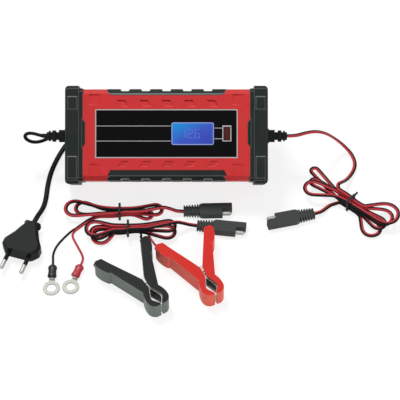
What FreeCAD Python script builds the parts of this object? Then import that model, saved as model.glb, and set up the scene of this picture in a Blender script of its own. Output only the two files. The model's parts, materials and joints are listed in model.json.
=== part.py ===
"""Car battery charger that leans back on its wound mains lead, with its leads and clamps laid in front.

Millimetres, +Z up, +X along the case. The origin is at the bottom centre of the charger itself, and
Z = 0 is the surface that everything lies on.
"""

import FreeCAD, Part
import math
import os

import Sketcher

Vector = FreeCAD.Vector
UP = Vector(0, 0, 1)

# Driving dimensions, in millimetres and degrees
DIMENSIONS = {
    "case_length": 186,
    "case_width": 90,
    "lean": 37,
    "bumper_length": 16.5,
    "bumper_block": 12.7,
    "bumper_wall": 4,
    "bumper_face": 45.2,
    "bumper_fillet": 3.4,
    "bumper_pad": 0.8,
    "shell_width": 84,
    "shell_back": 1.5,
    "shell_face": 44.5,
    "parting": 22,
    "parting_gap": 0.6,
    "bevel_width": 4.5,
    "bevel_depth": 6,
    "neck_inset": 2.5,
    "cavity_length": 170,
    "cavity_width": 66,
    "cavity_floor": 4,
    "cavity_roof": 39.5,
    "dent_depth": 1.2,
    "dent_pitch": 20.5,
    "dent_width": 11,
    "dent_slant": 3.4,
    "dent_shift": 1.2,
    "corner_dent": 10.5,
    "corner_dent_across": 65.6,
    "corner_dent_up": 32.2,
    "grip_length": 109.5,
    "grip_seat": 36,
    "grip_start": 9,
    "grip_pitch": 19,
    "grip_groove": 7.5,
    "grip_slant": 4.2,
    "grip_rise": 4,
    "fascia_length": 130.4,
    "fascia_width": 44.8,
    "fascia_depth": 2,
    "trim_width": 1.0,
    "window_length": 38.8,
    "window_width": 20.7,
    "window_centre": 24,
    "button_length": 5.6,
    "button_width": 11.8,
    "button_centre": 55.3,
    "button_gap": 0.4,
    "display_centre": 0.9,
    "gland_length": 18.5,
    "gland_width": 10.6,
    "board_length": 134,
    "board_width": 60,
    "board_thickness": 1.6,
    "board_height": 9,
    "screw_spacing_long": 144,
    "screw_spacing_short": 54,
    "screw_well_radius": 3.2,
    "screw_well_depth": 12,
    "screw_hole_radius": 1.7,
    "board_screw_inset": 17,
    "mains_cord_width": 4.8,
    "mains_cord_height": 3,
    "lead_width": 3.8,
    "lead_height": 1.9,
    "wire_diameter": 2.1,
    "plug_length": 36,
    "plug_width": 35.3,
    "plug_height": 13.7,
    "plug_pin_spacing": 19,
    "plug_pin_diameter": 4,
    "plug_pin_length": 19,
    "plug_sleeve_length": 10,
    "connector_length": 45,
    "connector_width": 14.4,
    "connector_height": 7.6,
    "contact_spacing": 7.2,
    "contact_diameter": 4,
    "shroud_radius": 2.7,
    "shroud_depth": 14,
    "root_radius": 1.5,
    "ring_diameter": 15.2,
    "ring_hole": 8.4,
    "ring_thickness": 1.2,
    "clamp_thickness": 17,
    "clamp_pivot": 30,
    "clamp_pin_diameter": 4,
}

# Where the loose pieces lie: (x, y) and heading in degrees
PLUG_PLACE = ((-122.2, -75), -107.5)
OUTPUT_CONNECTOR_PLACE = ((136.1, -60.5), 193.2)
RING_CONNECTOR_PLACE = ((15.5, -57.8), 1.5)
CLAMP_CONNECTOR_PLACE = ((28.0, -74.3), -6.8)
BLACK_RING_PLACE = ((-101.9, -118.1), -90)
RED_RING_PLACE = ((-76.6, -118.1), -110)
BLACK_CLAMP_PLACE = ((-2.4, -169.7), 122.7)
RED_CLAMP_PLACE = ((44.9, -159.1), 114.6)

doc = FreeCAD.newDocument("BatteryCharger")
sheet = doc.addObject("Spreadsheet::Sheet", "Size")
for row, (alias, value) in enumerate(DIMENSIONS.items(), start=1):
    sheet.set(f"A{row}", alias)
    sheet.set(f"B{row}", str(value))
    sheet.setAlias(f"B{row}", alias)
doc.recompute()

nodes = []


def size(alias):
    """The number that a cell of the sheet holds."""
    return float(sheet.get(alias))


def keep(item, label, place=None):
    """Make an object a sub-part of its own."""
    item.Label = label
    if place is not None:
        item.Placement = place
    nodes.append(item)
    return item


def bind(item, **values):
    """Bind properties of an object to formulas of the sheet's cells."""
    for name, formula in values.items():
        item.setExpression(name.replace("__", "."), formula)
    return item


# Sketches and features of moulded pieces


def new_body(label):
    body = doc.addObject("PartDesign::Body", label.title().replace("_", ""))
    doc.recompute()
    return body


def new_sketch(body, role, offset="0"):
    plane = next(item for item in body.Origin.OriginFeatures if item.Role == role)
    sketch = body.newObject("Sketcher::SketchObject", "Sketch")
    sketch.AttachmentSupport = [(plane, "")]
    sketch.MapMode = "FlatFace"
    sketch.setExpression("AttachmentOffset.Base.z", offset)
    return sketch


def outline(sketch, corners):
    """A closed outline whose corners are pairs of formulas."""
    first = sketch.GeometryCount
    count = len(corners)
    turns = [2 * math.pi * i / count for i in range(count)]
    spots = [Vector(math.cos(turn), math.sin(turn), 0) for turn in turns]
    for i in range(count):
        sketch.addGeometry(Part.LineSegment(spots[i], spots[(i + 1) % count]), False)
    for i in range(count):
        sketch.addConstraint(Sketcher.Constraint("Coincident", first + i, 2, first + (i + 1) % count, 1))
    for i, pair in enumerate(corners):
        for kind, formula, start in zip(("DistanceX", "DistanceY"), pair, spots[i]):
            index = sketch.addConstraint(Sketcher.Constraint(kind, -1, 1, first + i, 1, start))
            sketch.setExpression(f"Constraints[{index}]", formula)


def circle(sketch, across, up, radius):
    """A circle whose centre and radius are formulas."""
    index = sketch.addGeometry(Part.Circle(Vector(1, 1, 0), UP, 1), False)
    for kind, formula in (("DistanceX", across), ("DistanceY", up)):
        constraint = sketch.addConstraint(Sketcher.Constraint(kind, -1, 1, index, 3, 1))
        sketch.setExpression(f"Constraints[{constraint}]", formula)
    constraint = sketch.addConstraint(Sketcher.Constraint("Radius", index, 1))
    sketch.setExpression(f"Constraints[{constraint}]", radius)


def polygon(sketch, across, up, radius, sides=8):
    """A regular polygon with a flat side below, as big as a circle of the radius."""
    turns = [2 * math.pi * (i + 0.5) / sides for i in range(sides)]
    outline(
        sketch,
        [
            (f"{across} + ({radius}) * {math.cos(turn):.4f}", f"{up} + ({radius}) * {math.sin(turn):.4f}")
            for turn in turns
        ],
    )


def rectangle(sketch, across, up, width, height):
    """A rectangle given by its centre and its full width and height, all formulas."""
    outline(
        sketch,
        [
            (f"{across} + ({width}) * {i} / 2", f"{up} + ({height}) * {j} / 2")
            for i, j in ((-1, -1), (1, -1), (1, 1), (-1, 1))
        ],
    )


def pad(body, sketch, length, midplane=False):
    feature = body.newObject("PartDesign::Pad", "Pad")
    feature.Profile = sketch
    feature.Midplane = midplane
    feature.setExpression("Length", length)
    doc.recompute()
    return feature


def pocket(body, sketch, length, midplane=False, upwards=False):
    before = body.Shape.Volume
    feature = body.newObject("PartDesign::Pocket", "Pocket")
    feature.Profile = sketch
    feature.Midplane = midplane
    feature.Reversed = upwards
    feature.setExpression("Length", length)
    doc.recompute()
    if feature.Shape.Volume > before - 0.01:
        raise ValueError(f"a pocket of {body.Label} cuts nothing")
    return feature


def dress(body, kind, radius, wanted):
    """Fillet or chamfer the edges of the body's last feature that a test picks."""
    base = body.Tip
    names = [f"Edge{i}" for i, edge in enumerate(base.Shape.Edges, start=1) if wanted(edge)]
    feature = body.newObject(f"PartDesign::{kind}", kind)
    feature.Base = (base, names)
    if kind == "Fillet":
        feature.Radius = radius
    else:
        feature.Size = radius
    doc.recompute()
    return feature


# Primitives and booleans


def box(length, width, height, x="0", y="0", z="0"):
    """A box centred on x and y that stands on z."""
    item = doc.addObject("Part::Box", "Block")
    bind(item, Length=length, Width=width, Height=height)
    bind(item, Placement__Base__x=f"{x} - ({length}) / 2")
    bind(item, Placement__Base__y=f"{y} - ({width}) / 2", Placement__Base__z=z)
    return item


def cylinder(radius, height, x="0", y="0", z="0"):
    item = doc.addObject("Part::Cylinder", "Rod")
    bind(item, Radius=radius, Height=height)
    return bind(item, Placement__Base__x=x, Placement__Base__y=y, Placement__Base__z=z)


def prism(radius, height, x="0", y="0", z="0", sides=8):
    """An upright rod with flat sides."""
    item = doc.addObject("Part::Prism", "Rod")
    item.Polygon = sides
    bind(item, Circumradius=radius, Height=height)
    return bind(item, Placement__Base__x=x, Placement__Base__y=y, Placement__Base__z=z)


def lying(item):
    """The same rod, laid along X from its place."""
    item.Placement = FreeCAD.Placement(item.Placement.Base, FreeCAD.Rotation(Vector(0, 1, 0), 90))
    return item


def lying_cylinder(radius, length, x="0", y="0", z="0"):
    """A cylinder along X that starts at x."""
    item = cylinder(radius, length)
    item.Placement = FreeCAD.Placement(Vector(), FreeCAD.Rotation(Vector(0, 1, 0), 90))
    return bind(item, Placement__Base__x=x, Placement__Base__y=y, Placement__Base__z=z)


def fuse(items):
    item = doc.addObject("Part::MultiFuse", "Joined")
    item.Shapes = items
    return item


def cut(base, tool):
    item = doc.addObject("Part::Cut", "Cut")
    item.Base = base
    item.Tool = tool
    return item


def group(items):
    item = doc.addObject("Part::Compound", "Group")
    item.Links = items
    return item


def made(shape, label):
    """A sub-part from a finished shape."""
    item = doc.addObject("Part::Feature", label.title().replace("_", ""))
    item.Shape = shape
    return keep(item, label)


def laid(place, height=0.0):
    """The placement of a loose piece on the surface."""
    (x, y), heading = place
    return FreeCAD.Placement(Vector(x, y, height), FreeCAD.Rotation(UP, heading))


# Charger case. Its own frame has X along the case, Y up its short side and Z out of its face


def octagon(half_width, low, high, corner):
    """An upright section with cut corners, as formulas."""
    return [
        (f"-({half_width})", f"{low} + {corner}"),
        (f"-({half_width}) + {corner}", low),
        (f"{half_width} - {corner}", low),
        (half_width, f"{low} + {corner}"),
        (half_width, f"{high} - {corner}"),
        (f"{half_width} - {corner}", high),
        (f"-({half_width}) + {corner}", high),
        (f"-({half_width})", f"{high} - {corner}"),
    ]


SHELL = "Size.shell_width / 2"
NECK = "(Size.shell_width / 2 - Size.neck_inset)"
SHELL_LENGTH = "Size.case_length - 2 * Size.bumper_length"
NECK_LENGTH = "Size.case_length - 2 * Size.bumper_wall"
FRONT_START = "Size.parting + Size.parting_gap / 2"
REAR_END = "Size.parting - Size.parting_gap / 2"


def cover_section(half_width, split, end, side, depth):
    """The section of one cover, from the parting plane to its bevelled face."""
    return [
        (f"-({half_width})", split),
        (f"-({half_width})", f"{end} - ({depth})"),
        (f"-({half_width}) + {side}", end),
        (f"{half_width} - {side}", end),
        (half_width, f"{end} - ({depth})"),
        (half_width, split),
    ]


def grip_corners(sign):
    """The notch for a side grip, seen from the front."""
    half = "Size.grip_length / 2"
    return [
        (f"-({half})", f"{sign} * (Size.case_width / 2)"),
        (f"-({half})", f"{sign} * (Size.grip_seat + Size.grip_rise)"),
        (f"-({half}) + Size.grip_slant", f"{sign} * Size.grip_seat"),
        (f"{half} - Size.grip_slant", f"{sign} * Size.grip_seat"),
        (half, f"{sign} * (Size.grip_seat + Size.grip_rise)"),
        (half, f"{sign} * (Size.case_width / 2)"),
    ]


def tab_corners(sign):
    """The tongue of a bumper that reaches over the cover's face."""
    edge = "(Size.case_length / 2 - Size.bumper_length)"
    return [
        (f"{sign} * ({edge} + 1)", "Size.display_centre + 14.2"),
        (f"{sign} * {edge}", "Size.display_centre + 13.2"),
        (f"{sign} * ({edge} - 2.2)", "Size.display_centre + 10"),
        (f"{sign} * ({edge} - 2.2)", "Size.display_centre - 9"),
        (f"{sign} * {edge}", "Size.display_centre - 12.2"),
        (f"{sign} * ({edge} + 1)", "Size.display_centre - 13.2"),
    ]


def screw_spots():
    """The four case screws, as pairs of formulas."""
    return [
        (f"{i} * Size.screw_spacing_long / 2", f"{j} * Size.screw_spacing_short / 2")
        for i in (-1, 1)
        for j in (-1, 1)
    ]


def board_screw_spots():
    """The four screws of the main board, as pairs of formulas."""
    across, up = "(Size.board_length / 2 - Size.board_screw_inset)", "(Size.board_width / 2 - 4)"
    return [(f"{i} * {across}", f"{j} * {up}") for i in (-1, 1) for j in (-1, 1)]


def display_openings(sketch):
    """The outlines of the window and of the key's opening, the key's with a gap all round."""
    centre = "Size.display_centre"
    gap = "2 * Size.button_gap"
    length, width = f"Size.button_length + {gap}", f"Size.button_width + {gap}"
    rectangle(sketch, "Size.window_centre", centre, "Size.window_length", "Size.window_width")
    rectangle(sketch, "Size.button_centre", centre, length, width)


def dent_corners(middle, high, low):
    """A slanting dent in the face, between two heights up the case."""
    half = "Size.dent_width / 2"
    return [
        (f"{middle} - {half}", high),
        (f"{middle} + {half} - Size.dent_slant", high),
        (f"{middle} + {half}", low),
        (f"{middle} - {half} + Size.dent_slant", low),
    ]


def front_cover():
    body = new_body("front_cover")
    bevel = ("Size.bevel_width", "Size.bevel_depth")
    shell = new_sketch(body, "YZ_Plane")
    outline(shell, cover_section(SHELL, FRONT_START, "Size.shell_face", *bevel))
    pad(body, shell, SHELL_LENGTH, True)
    neck = new_sketch(body, "YZ_Plane")
    outline(neck, cover_section(NECK, FRONT_START, "Size.shell_face - Size.neck_inset", *bevel))
    pad(body, neck, NECK_LENGTH, True)
    cavity = new_sketch(body, "YZ_Plane")
    outline(cavity, cover_section("Size.cavity_width / 2", FRONT_START, "Size.cavity_roof", "3", "4"))
    pocket(body, cavity, "Size.cavity_length", True)
    bosses = new_sketch(body, "XY_Plane", FRONT_START)
    for x, y in screw_spots():
        polygon(bosses, x, y, "4")
    pad(body, bosses, f"Size.cavity_roof - ({FRONT_START})")
    screw_holes = new_sketch(body, "XY_Plane", FRONT_START)
    for x, y in screw_spots():
        circle(screw_holes, x, y, "1.5")
    pocket(body, screw_holes, "10", upwards=True)
    fascia_seat = new_sketch(body, "XY_Plane", "Size.shell_face")
    rectangle(fascia_seat, "0", "Size.display_centre", "Size.fascia_length", "Size.fascia_width")
    pocket(body, fascia_seat, "Size.fascia_depth")
    windows = new_sketch(body, "XY_Plane", "Size.shell_face")
    display_openings(windows)
    pocket(body, windows, "Size.shell_face - Size.cavity_roof + 1")
    dents = new_sketch(body, "XY_Plane", "Size.shell_face")
    for i in range(-2, 3):
        middle = f"{i} * Size.dent_pitch + Size.dent_shift"
        outline(dents, dent_corners(middle, "31.8", "25.4"))
        outline(dents, dent_corners(middle, "-29.4", "-24.2"))
    for i in (-1, 1):
        for j in (-1, 1):
            across, up = f"{i} * Size.corner_dent_across", f"{j} * Size.corner_dent_up"
            rectangle(dents, across, up, "Size.corner_dent", "Size.corner_dent")
    pocket(body, dents, "Size.dent_depth")
    notches = new_sketch(body, "XY_Plane", "Size.shell_face")
    outline(notches, grip_corners(1))
    outline(notches, grip_corners(-1))
    pocket(body, notches, f"Size.shell_face - ({FRONT_START}) + 1")
    tabs = new_sketch(body, "XY_Plane", "Size.shell_face")
    outline(tabs, tab_corners(-1))
    outline(tabs, tab_corners(1))
    pocket(body, tabs, "6")
    return keep(body, "front_cover")


def rear_cover():
    body = new_body("rear_cover")
    shell = new_sketch(body, "YZ_Plane")
    outline(shell, cover_section(SHELL, REAR_END, "Size.shell_back", "3", "-3"))
    pad(body, shell, SHELL_LENGTH, True)
    neck = new_sketch(body, "YZ_Plane")
    outline(neck, cover_section(NECK, REAR_END, "Size.cavity_floor", "2", "-2"))
    pad(body, neck, NECK_LENGTH, True)
    cavity = new_sketch(body, "YZ_Plane")
    middle = "(Size.cavity_floor + Size.parting) / 2"
    rectangle(cavity, "0", middle, "Size.cavity_width", "Size.parting - Size.cavity_floor")
    pocket(body, cavity, "Size.cavity_length", True)
    bosses = new_sketch(body, "XY_Plane", "Size.cavity_floor")
    for x, y in screw_spots():
        polygon(bosses, x, y, "4.5")
    pad(body, bosses, f"{REAR_END} - Size.cavity_floor")
    board_posts = new_sketch(body, "XY_Plane", "Size.cavity_floor")
    for x, y in board_screw_spots():
        polygon(board_posts, x, y, "3", 6)
    pad(body, board_posts, "Size.board_height - Size.cavity_floor")
    heads = new_sketch(body, "XY_Plane", "Size.shell_back")
    for x, y in screw_spots():
        circle(heads, x, y, "Size.screw_well_radius")
    pocket(body, heads, "Size.screw_well_depth", upwards=True)
    holes = new_sketch(body, "XY_Plane", "Size.shell_back")
    for x, y in screw_spots():
        circle(holes, x, y, "Size.screw_hole_radius")
    pocket(body, holes, "Size.parting", upwards=True)
    notches = new_sketch(body, "XY_Plane", REAR_END)
    outline(notches, grip_corners(1))
    outline(notches, grip_corners(-1))
    pocket(body, notches, f"{REAR_END} - Size.grip_start")
    return keep(body, "rear_cover")


def cover_seal():
    """The flat seal between the covers, just outside the space that they close."""
    length, width = "Size.cavity_length", "Size.cavity_width"
    outer = box(f"{length} + 5", f"{width} + 4.6", "Size.parting_gap", z=REAR_END)
    inner = box(f"{length} + 1", f"{width} + 1", "Size.parting_gap + 2", z=f"{REAR_END} - 1")
    return keep(cut(outer, inner), "cover_seal")


def bumper(label, sign):
    """A rubber cap over one end of both covers."""
    body = new_body(label)
    end = "Size.case_length / 2"
    step = "(Size.case_length / 2 - Size.bumper_block)"
    block = new_sketch(body, "YZ_Plane", step if sign > 0 else f"-({end})")
    outline(block, octagon("Size.case_width / 2", "0", "Size.bumper_face", "3"))
    pad(body, block, "Size.bumper_block")
    dress(
        body,
        "Fillet",
        size("bumper_fillet"),
        lambda edge: all(abs(abs(v.Point.x) - size("case_length") / 2) < 0.01 for v in edge.Vertexes),
    )
    rim_start = "(Size.case_length / 2 - Size.bumper_length)"
    rim = new_sketch(body, "YZ_Plane", rim_start if sign > 0 else f"-{step}")
    outline(rim, octagon("Size.shell_width / 2 + 0.6", "0.8", "Size.bumper_face - 0.5", "3"))
    pad(body, rim, "Size.bumper_length - Size.bumper_block")
    tab = new_sketch(body, "XY_Plane", "Size.shell_face - 6")
    outline(tab, tab_corners(sign))
    pad(body, tab, "6.5")
    pads = new_sketch(body, "XY_Plane", "Size.bumper_face - 1")
    middle = f"{sign} * (Size.case_length / 2 - Size.bumper_block / 2 - 0.4)"
    for up, width in (("28.9", "12.4"), ("-30", "20.6")):
        rectangle(pads, middle, up, "Size.bumper_block - Size.bumper_fillet", width)
    pad(body, pads, "1 + Size.bumper_pad")
    hollow = new_sketch(body, "YZ_Plane", rim_start if sign > 0 else f"-({end} - Size.bumper_wall)")
    outline(
        hollow,
        [
            (f"-{NECK}", "Size.cavity_floor + 2"),
            (f"-{NECK} + 2", "Size.cavity_floor"),
            (f"{NECK} - 2", "Size.cavity_floor"),
            (NECK, "Size.cavity_floor + 2"),
            (NECK, "Size.shell_face - Size.neck_inset - Size.bevel_depth"),
            (f"{NECK} - Size.bevel_width", "Size.shell_face - Size.neck_inset"),
            (f"-{NECK} + Size.bevel_width", "Size.shell_face - Size.neck_inset"),
            (f"-{NECK}", "Size.shell_face - Size.neck_inset - Size.bevel_depth"),
        ],
    )
    pocket(body, hollow, "Size.bumper_length - Size.bumper_wall", upwards=True)
    hole = new_sketch(body, "YZ_Plane", end if sign > 0 else f"-({end})")
    rectangle(hole, "0", "Size.parting", "8", "7")
    pocket(body, hole, "Size.bumper_wall + 1", upwards=sign < 0)
    return keep(body, label)


def side_grip(label, sign):
    """A ribbed rubber strip in the notch of one long side."""
    body = new_body(label)
    strip = new_sketch(body, "XY_Plane", "Size.grip_start")
    corners = grip_corners(sign)
    corners[0] = (corners[0][0], f"{sign} * (Size.shell_width / 2 + 0.3)")
    corners[-1] = (corners[-1][0], f"{sign} * (Size.shell_width / 2 + 0.3)")
    outline(strip, corners)
    pad(body, strip, "Size.shell_face - Size.grip_start")
    bevel = new_sketch(body, "YZ_Plane")
    edge = f"{sign} * (Size.shell_width / 2 + 1)"
    outline(
        bevel,
        [
            (f"{sign} * (Size.grip_seat - 0.5)", "Size.shell_face - 0.2"),
            (f"{sign} * (Size.grip_seat + 1.5)", "Size.shell_face - 0.2"),
            (edge, "Size.shell_face - Size.bevel_depth"),
            (edge, "Size.shell_face + 1"),
            (f"{sign} * (Size.grip_seat - 0.5)", "Size.shell_face + 1"),
        ],
    )
    pocket(body, bevel, "Size.grip_length + 2", True)
    grooves = new_sketch(body, "XY_Plane", "Size.shell_face + 1")
    for i in range(-2, 3):
        middle = f"{i} * Size.grip_pitch"
        rectangle(grooves, middle, f"{sign} * (Size.shell_width / 2 + 0.3)", "Size.grip_groove", "4")
    pocket(body, grooves, "Size.shell_face + 2 - Size.grip_start")
    return keep(body, label)


def display():
    """The gloss fascia, its bright trim, the window and the module behind it."""
    seat = "Size.shell_face - Size.fascia_depth"
    inner_length = "Size.fascia_length - 2 * Size.trim_width"
    inner_width = "Size.fascia_width - 2 * Size.trim_width"
    centre = "Size.display_centre"
    fascia = new_body("display_fascia")
    plate = new_sketch(fascia, "XY_Plane", seat)
    rectangle(plate, "0", centre, inner_length, inner_width)
    pad(fascia, plate, "1.5")
    openings = new_sketch(fascia, "XY_Plane", "Size.shell_face")
    display_openings(openings)
    pocket(fascia, openings, "Size.fascia_depth + 1")
    keep(fascia, "display_fascia")

    frame = cut(
        box("Size.fascia_length", "Size.fascia_width", "1.9", y=centre, z=seat),
        box(inner_length, inner_width, "4", y=centre, z=f"{seat} - 1"),
    )
    surface = f"{seat} + 1.5"
    line_width, line_depth = "0.6", "0.2"
    window_side = "(Size.window_centre - Size.window_length / 2)"
    line_length = f"Size.fascia_length / 2 + {window_side} - {line_width}"
    line_middle = f"({window_side} - Size.fascia_length / 2 - {line_width}) / 2"
    lines = [box(line_length, line_width, line_depth, line_middle, y, surface) for y in ("7.9", "-5.9")]
    key, key_length, key_width = "Size.button_centre", "Size.button_length", "Size.button_width"
    gap = "2 * Size.button_gap"
    button_frame = cut(
        box(f"{key_length} + 2.6", f"{key_width} + 2.8", "0.6", key, f"{centre} + 0.2", surface),
        box(f"{key_length} + {gap}", f"{key_width} + {gap}", "3", key, centre, f"{surface} - 1"),
    )
    window_end = "(Size.window_centre + Size.window_length / 2)"
    frame_side = f"({key} - {key_length} / 2 - 1.3)"
    link_length = f"{frame_side} - {window_end} - 0.4"
    link_middle = f"({frame_side} + {window_end} + 0.4) / 2"
    links = [box(link_length, line_width, line_depth, link_middle, y, surface) for y in ("6", "-3.8")]
    keep(fuse([frame, *lines, button_frame, *links]), "fascia_trim")

    pane = box("Size.window_length", "Size.window_width", "1.4", "Size.window_centre", centre, seat)
    keep(group([pane]), "lcd_window")
    length, width, depth = "Size.window_length - 1", "Size.window_width - 1", f"{seat} - 33.2"
    keep(group([box(length, width, depth, "Size.window_centre", centre, "33")]), "lcd_module")


def mode_button():
    """The key, with a flange under the face that keeps it in."""
    body = new_body("mode_button")
    cap = new_sketch(body, "XY_Plane", "Size.cavity_roof - 0.5")
    rectangle(cap, "Size.button_centre", "Size.display_centre", "Size.button_length", "Size.button_width")
    pad(body, cap, "Size.shell_face + 0.3 - Size.cavity_roof + 0.5")
    dress(
        body,
        "Chamfer",
        0.4,
        lambda edge: all(abs(v.Point.z - size("shell_face") - 0.3) < 0.01 for v in edge.Vertexes),
    )
    flange = new_sketch(body, "XY_Plane", "Size.cavity_roof - 1.6")
    length, width = "Size.button_length + 3", "Size.button_width + 3"
    rectangle(flange, "Size.button_centre", "Size.display_centre", length, width)
    pad(body, flange, "1.2")
    return keep(body, "mode_button")


BOARD_TOP = "Size.board_height + Size.board_thickness"


def boards():
    """The main board, and the display's board with the switch that the key presses."""
    main = box("Size.board_length", "Size.board_width", "Size.board_thickness", z="Size.board_height")
    keep(group([main]), "main_board")
    key = ("Size.button_centre", "Size.display_centre")
    seat = "31.6"
    keep(group([box("84", "44", "1.6", "24", "Size.display_centre", "30")]), "display_board")
    keep(fuse([box("7", "7", "2.4", *key, seat), cylinder("1.6", "3.2", *key, seat)]), "button_switch")


def transformer():
    """A framed core with its winding clear inside it."""
    spot = ("-34", "0")
    core = cut(box("30", "26", "22", *spot, BOARD_TOP), box("18", "28", "12", *spot, f"{BOARD_TOP} + 5"))
    winding = box("17.4", "24", "11.4", *spot, f"{BOARD_TOP} + 5.3")
    keep(group([core, winding]), "transformer")


def capacitors():
    """One large can by the mains end and two small ones."""
    cans = [("8", "22", "-58", "10.6", 12), ("5", "14", "30", "-14", 10), ("5", "14", "43", "-14", 10)]
    items = [prism(radius, height, x, y, BOARD_TOP, sides) for radius, height, x, y, sides in cans]
    keep(group(items), "capacitors")


def choke():
    spot = ("-57.5", "-14")
    core = prism("7.5", "8", *spot, BOARD_TOP, 12)
    keep(cut(core, prism("3.4", "12", *spot, f"{BOARD_TOP} - 2", 8)), "choke")


def heat_sink():
    """A finned plate, and the two transistors that it cools."""
    fins = [box("2", "44", "12", f"{x}", "0", f"{BOARD_TOP} + 2") for x in (4, 9, 14)]
    keep(fuse([box("14", "44", "2.5", "9", "0", BOARD_TOP), *fins]), "heat_sink")
    keep(group([box("4.4", "10", "12", "-1.6", f"{y}", BOARD_TOP) for y in (-12, 12)]), "power_transistors")


def fuse_link():
    """A glass tube with a cap on each end."""
    y, z = "18.6", f"{BOARD_TOP} + 3"
    caps = [lying(prism("2.6", "5", f"{x}", y, z)) for x in (-46, -30)]
    keep(fuse([lying(prism("2.2", "20", "-45.5", y, z)), *caps]), "fuse")


def screws():
    """The four case screws, up from their wells, and the four of the main board."""
    items = []
    for x, y in screw_spots():
        head = prism("2.7", "2.4", x, y, "Size.shell_back + 9.6")
        items.append(fuse([head, prism("1.45", "19", x, y, "Size.shell_back + 11", 6)]))
    for x, y in board_screw_spots():
        items.append(prism("2.6", "1.6", x, y, BOARD_TOP, 6))
    keep(group(items), "screws")


def gland(label, sign):
    """A ribbed strain relief, moulded about its own X axis and then set in a bumper's hole."""
    body = new_body(label)
    stem = new_sketch(body, "YZ_Plane", "-Size.bumper_wall")
    rectangle(stem, "0", "0", "8", "7")
    pad(body, stem, "Size.bumper_wall")
    stations = [(0, 1.25, 1.6), (1.6, 1.05, 5.4), (10, 0.98, 3.2), (15, 0.9, 1.6)]
    for start, share, length in stations:
        rib = new_sketch(body, "YZ_Plane", f"{start}")
        half = f"Size.gland_width / 2 * {share}"
        outline(rib, octagon(half, f"-({half}) + 0.8", f"{half} - 0.8", "1.6"))
        pad(body, rib, f"{length}")
    core = new_sketch(body, "YZ_Plane")
    outline(core, octagon("3.6", "-2.7", "2.7", "1"))
    pad(body, core, "Size.gland_length")
    return keep(body, label)


# Cords. A free stretch is straight runs joined by arcs, and a hank is one tube wound through its waist


def section(start, direction, width, height):
    """The four-sided section square to a cord."""
    aside = direction.cross(UP).normalize()
    over = aside.cross(direction).normalize()
    signs = ((-1, -1), (1, -1), (1, 1), (-1, 1))
    corners = [start + aside * (i * width / 2) + over * (j * height / 2) for i, j in signs]
    return Part.makePolygon([*corners, corners[0]])


def rounded(points, label):
    """Straight runs joined by arcs as large as the runs allow."""
    points = [Vector(*point) for point in points]
    edges, radii = [], []
    last = points[0]
    for before, corner, after in zip(points, points[1:], points[2:]):
        arriving, leaving = corner - before, after - corner
        reach = 0.45 * min(arriving.Length, leaving.Length)
        turn = arriving.getAngle(leaving)
        arriving.normalize()
        leaving.normalize()
        radius = reach / math.tan(turn / 2)
        start, end = corner - arriving * reach, corner + leaving * reach
        inwards = (leaving - arriving).normalize()
        middle = corner + inwards * (radius / math.cos(turn / 2) - radius)
        edges.append(Part.LineSegment(last, start).toShape())
        edges.append(Part.Arc(start, middle, end).toShape())
        radii.append(radius)
        last = end
    edges.append(Part.LineSegment(last, points[-1]).toShape())
    print(f"{label}: radii {[round(radius, 1) for radius in radii]}")
    return Part.Wire(edges)


def tube(wire, label, width, height):
    """The solid of a cord along its path, with its volume compared with section times length."""
    first = wire.Edges[0]
    direction = first.tangentAt(first.FirstParameter)
    start = first.valueAt(first.FirstParameter)
    profile = section(start, direction, width, height)
    solid = wire.makePipeShell([profile], True, False)
    if solid.Volume < 0:
        solid.reverse()
    expected = Part.Face(profile).Area * wire.Length
    print(f"{label}: {wire.Length:.0f} mm long, volume {solid.Volume / expected:.3f} of section times length")
    return made(solid, label)


def arc_between(start, heading, end):
    """The arc that leaves a point in a direction and ends at another point."""
    chord = end - start
    along = Vector(chord).normalize()
    half_turn = heading.getAngle(along)
    middle = start + (heading + along).normalize() * (chord.Length / 2 / math.cos(half_turn / 2))
    return Part.Arc(start, middle, end).toShape()


def biarc(start, leaving, end, arriving, reach):
    """Two tangent arcs between two points, reach being the handle at the end."""
    span = end - start
    turning = span.dot(leaving) - reach * (leaving.dot(arriving) - 1)
    handle = (span.dot(span) / 2 - reach * span.dot(arriving)) / turning
    share = 1 / (handle + reach)
    joint = ((start + leaving * handle) * reach + (end - arriving * reach) * handle) * share
    heading = (end - arriving * reach - joint).normalize()
    return [arc_between(start, leaving, joint), arc_between(joint, heading, end)]


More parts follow.
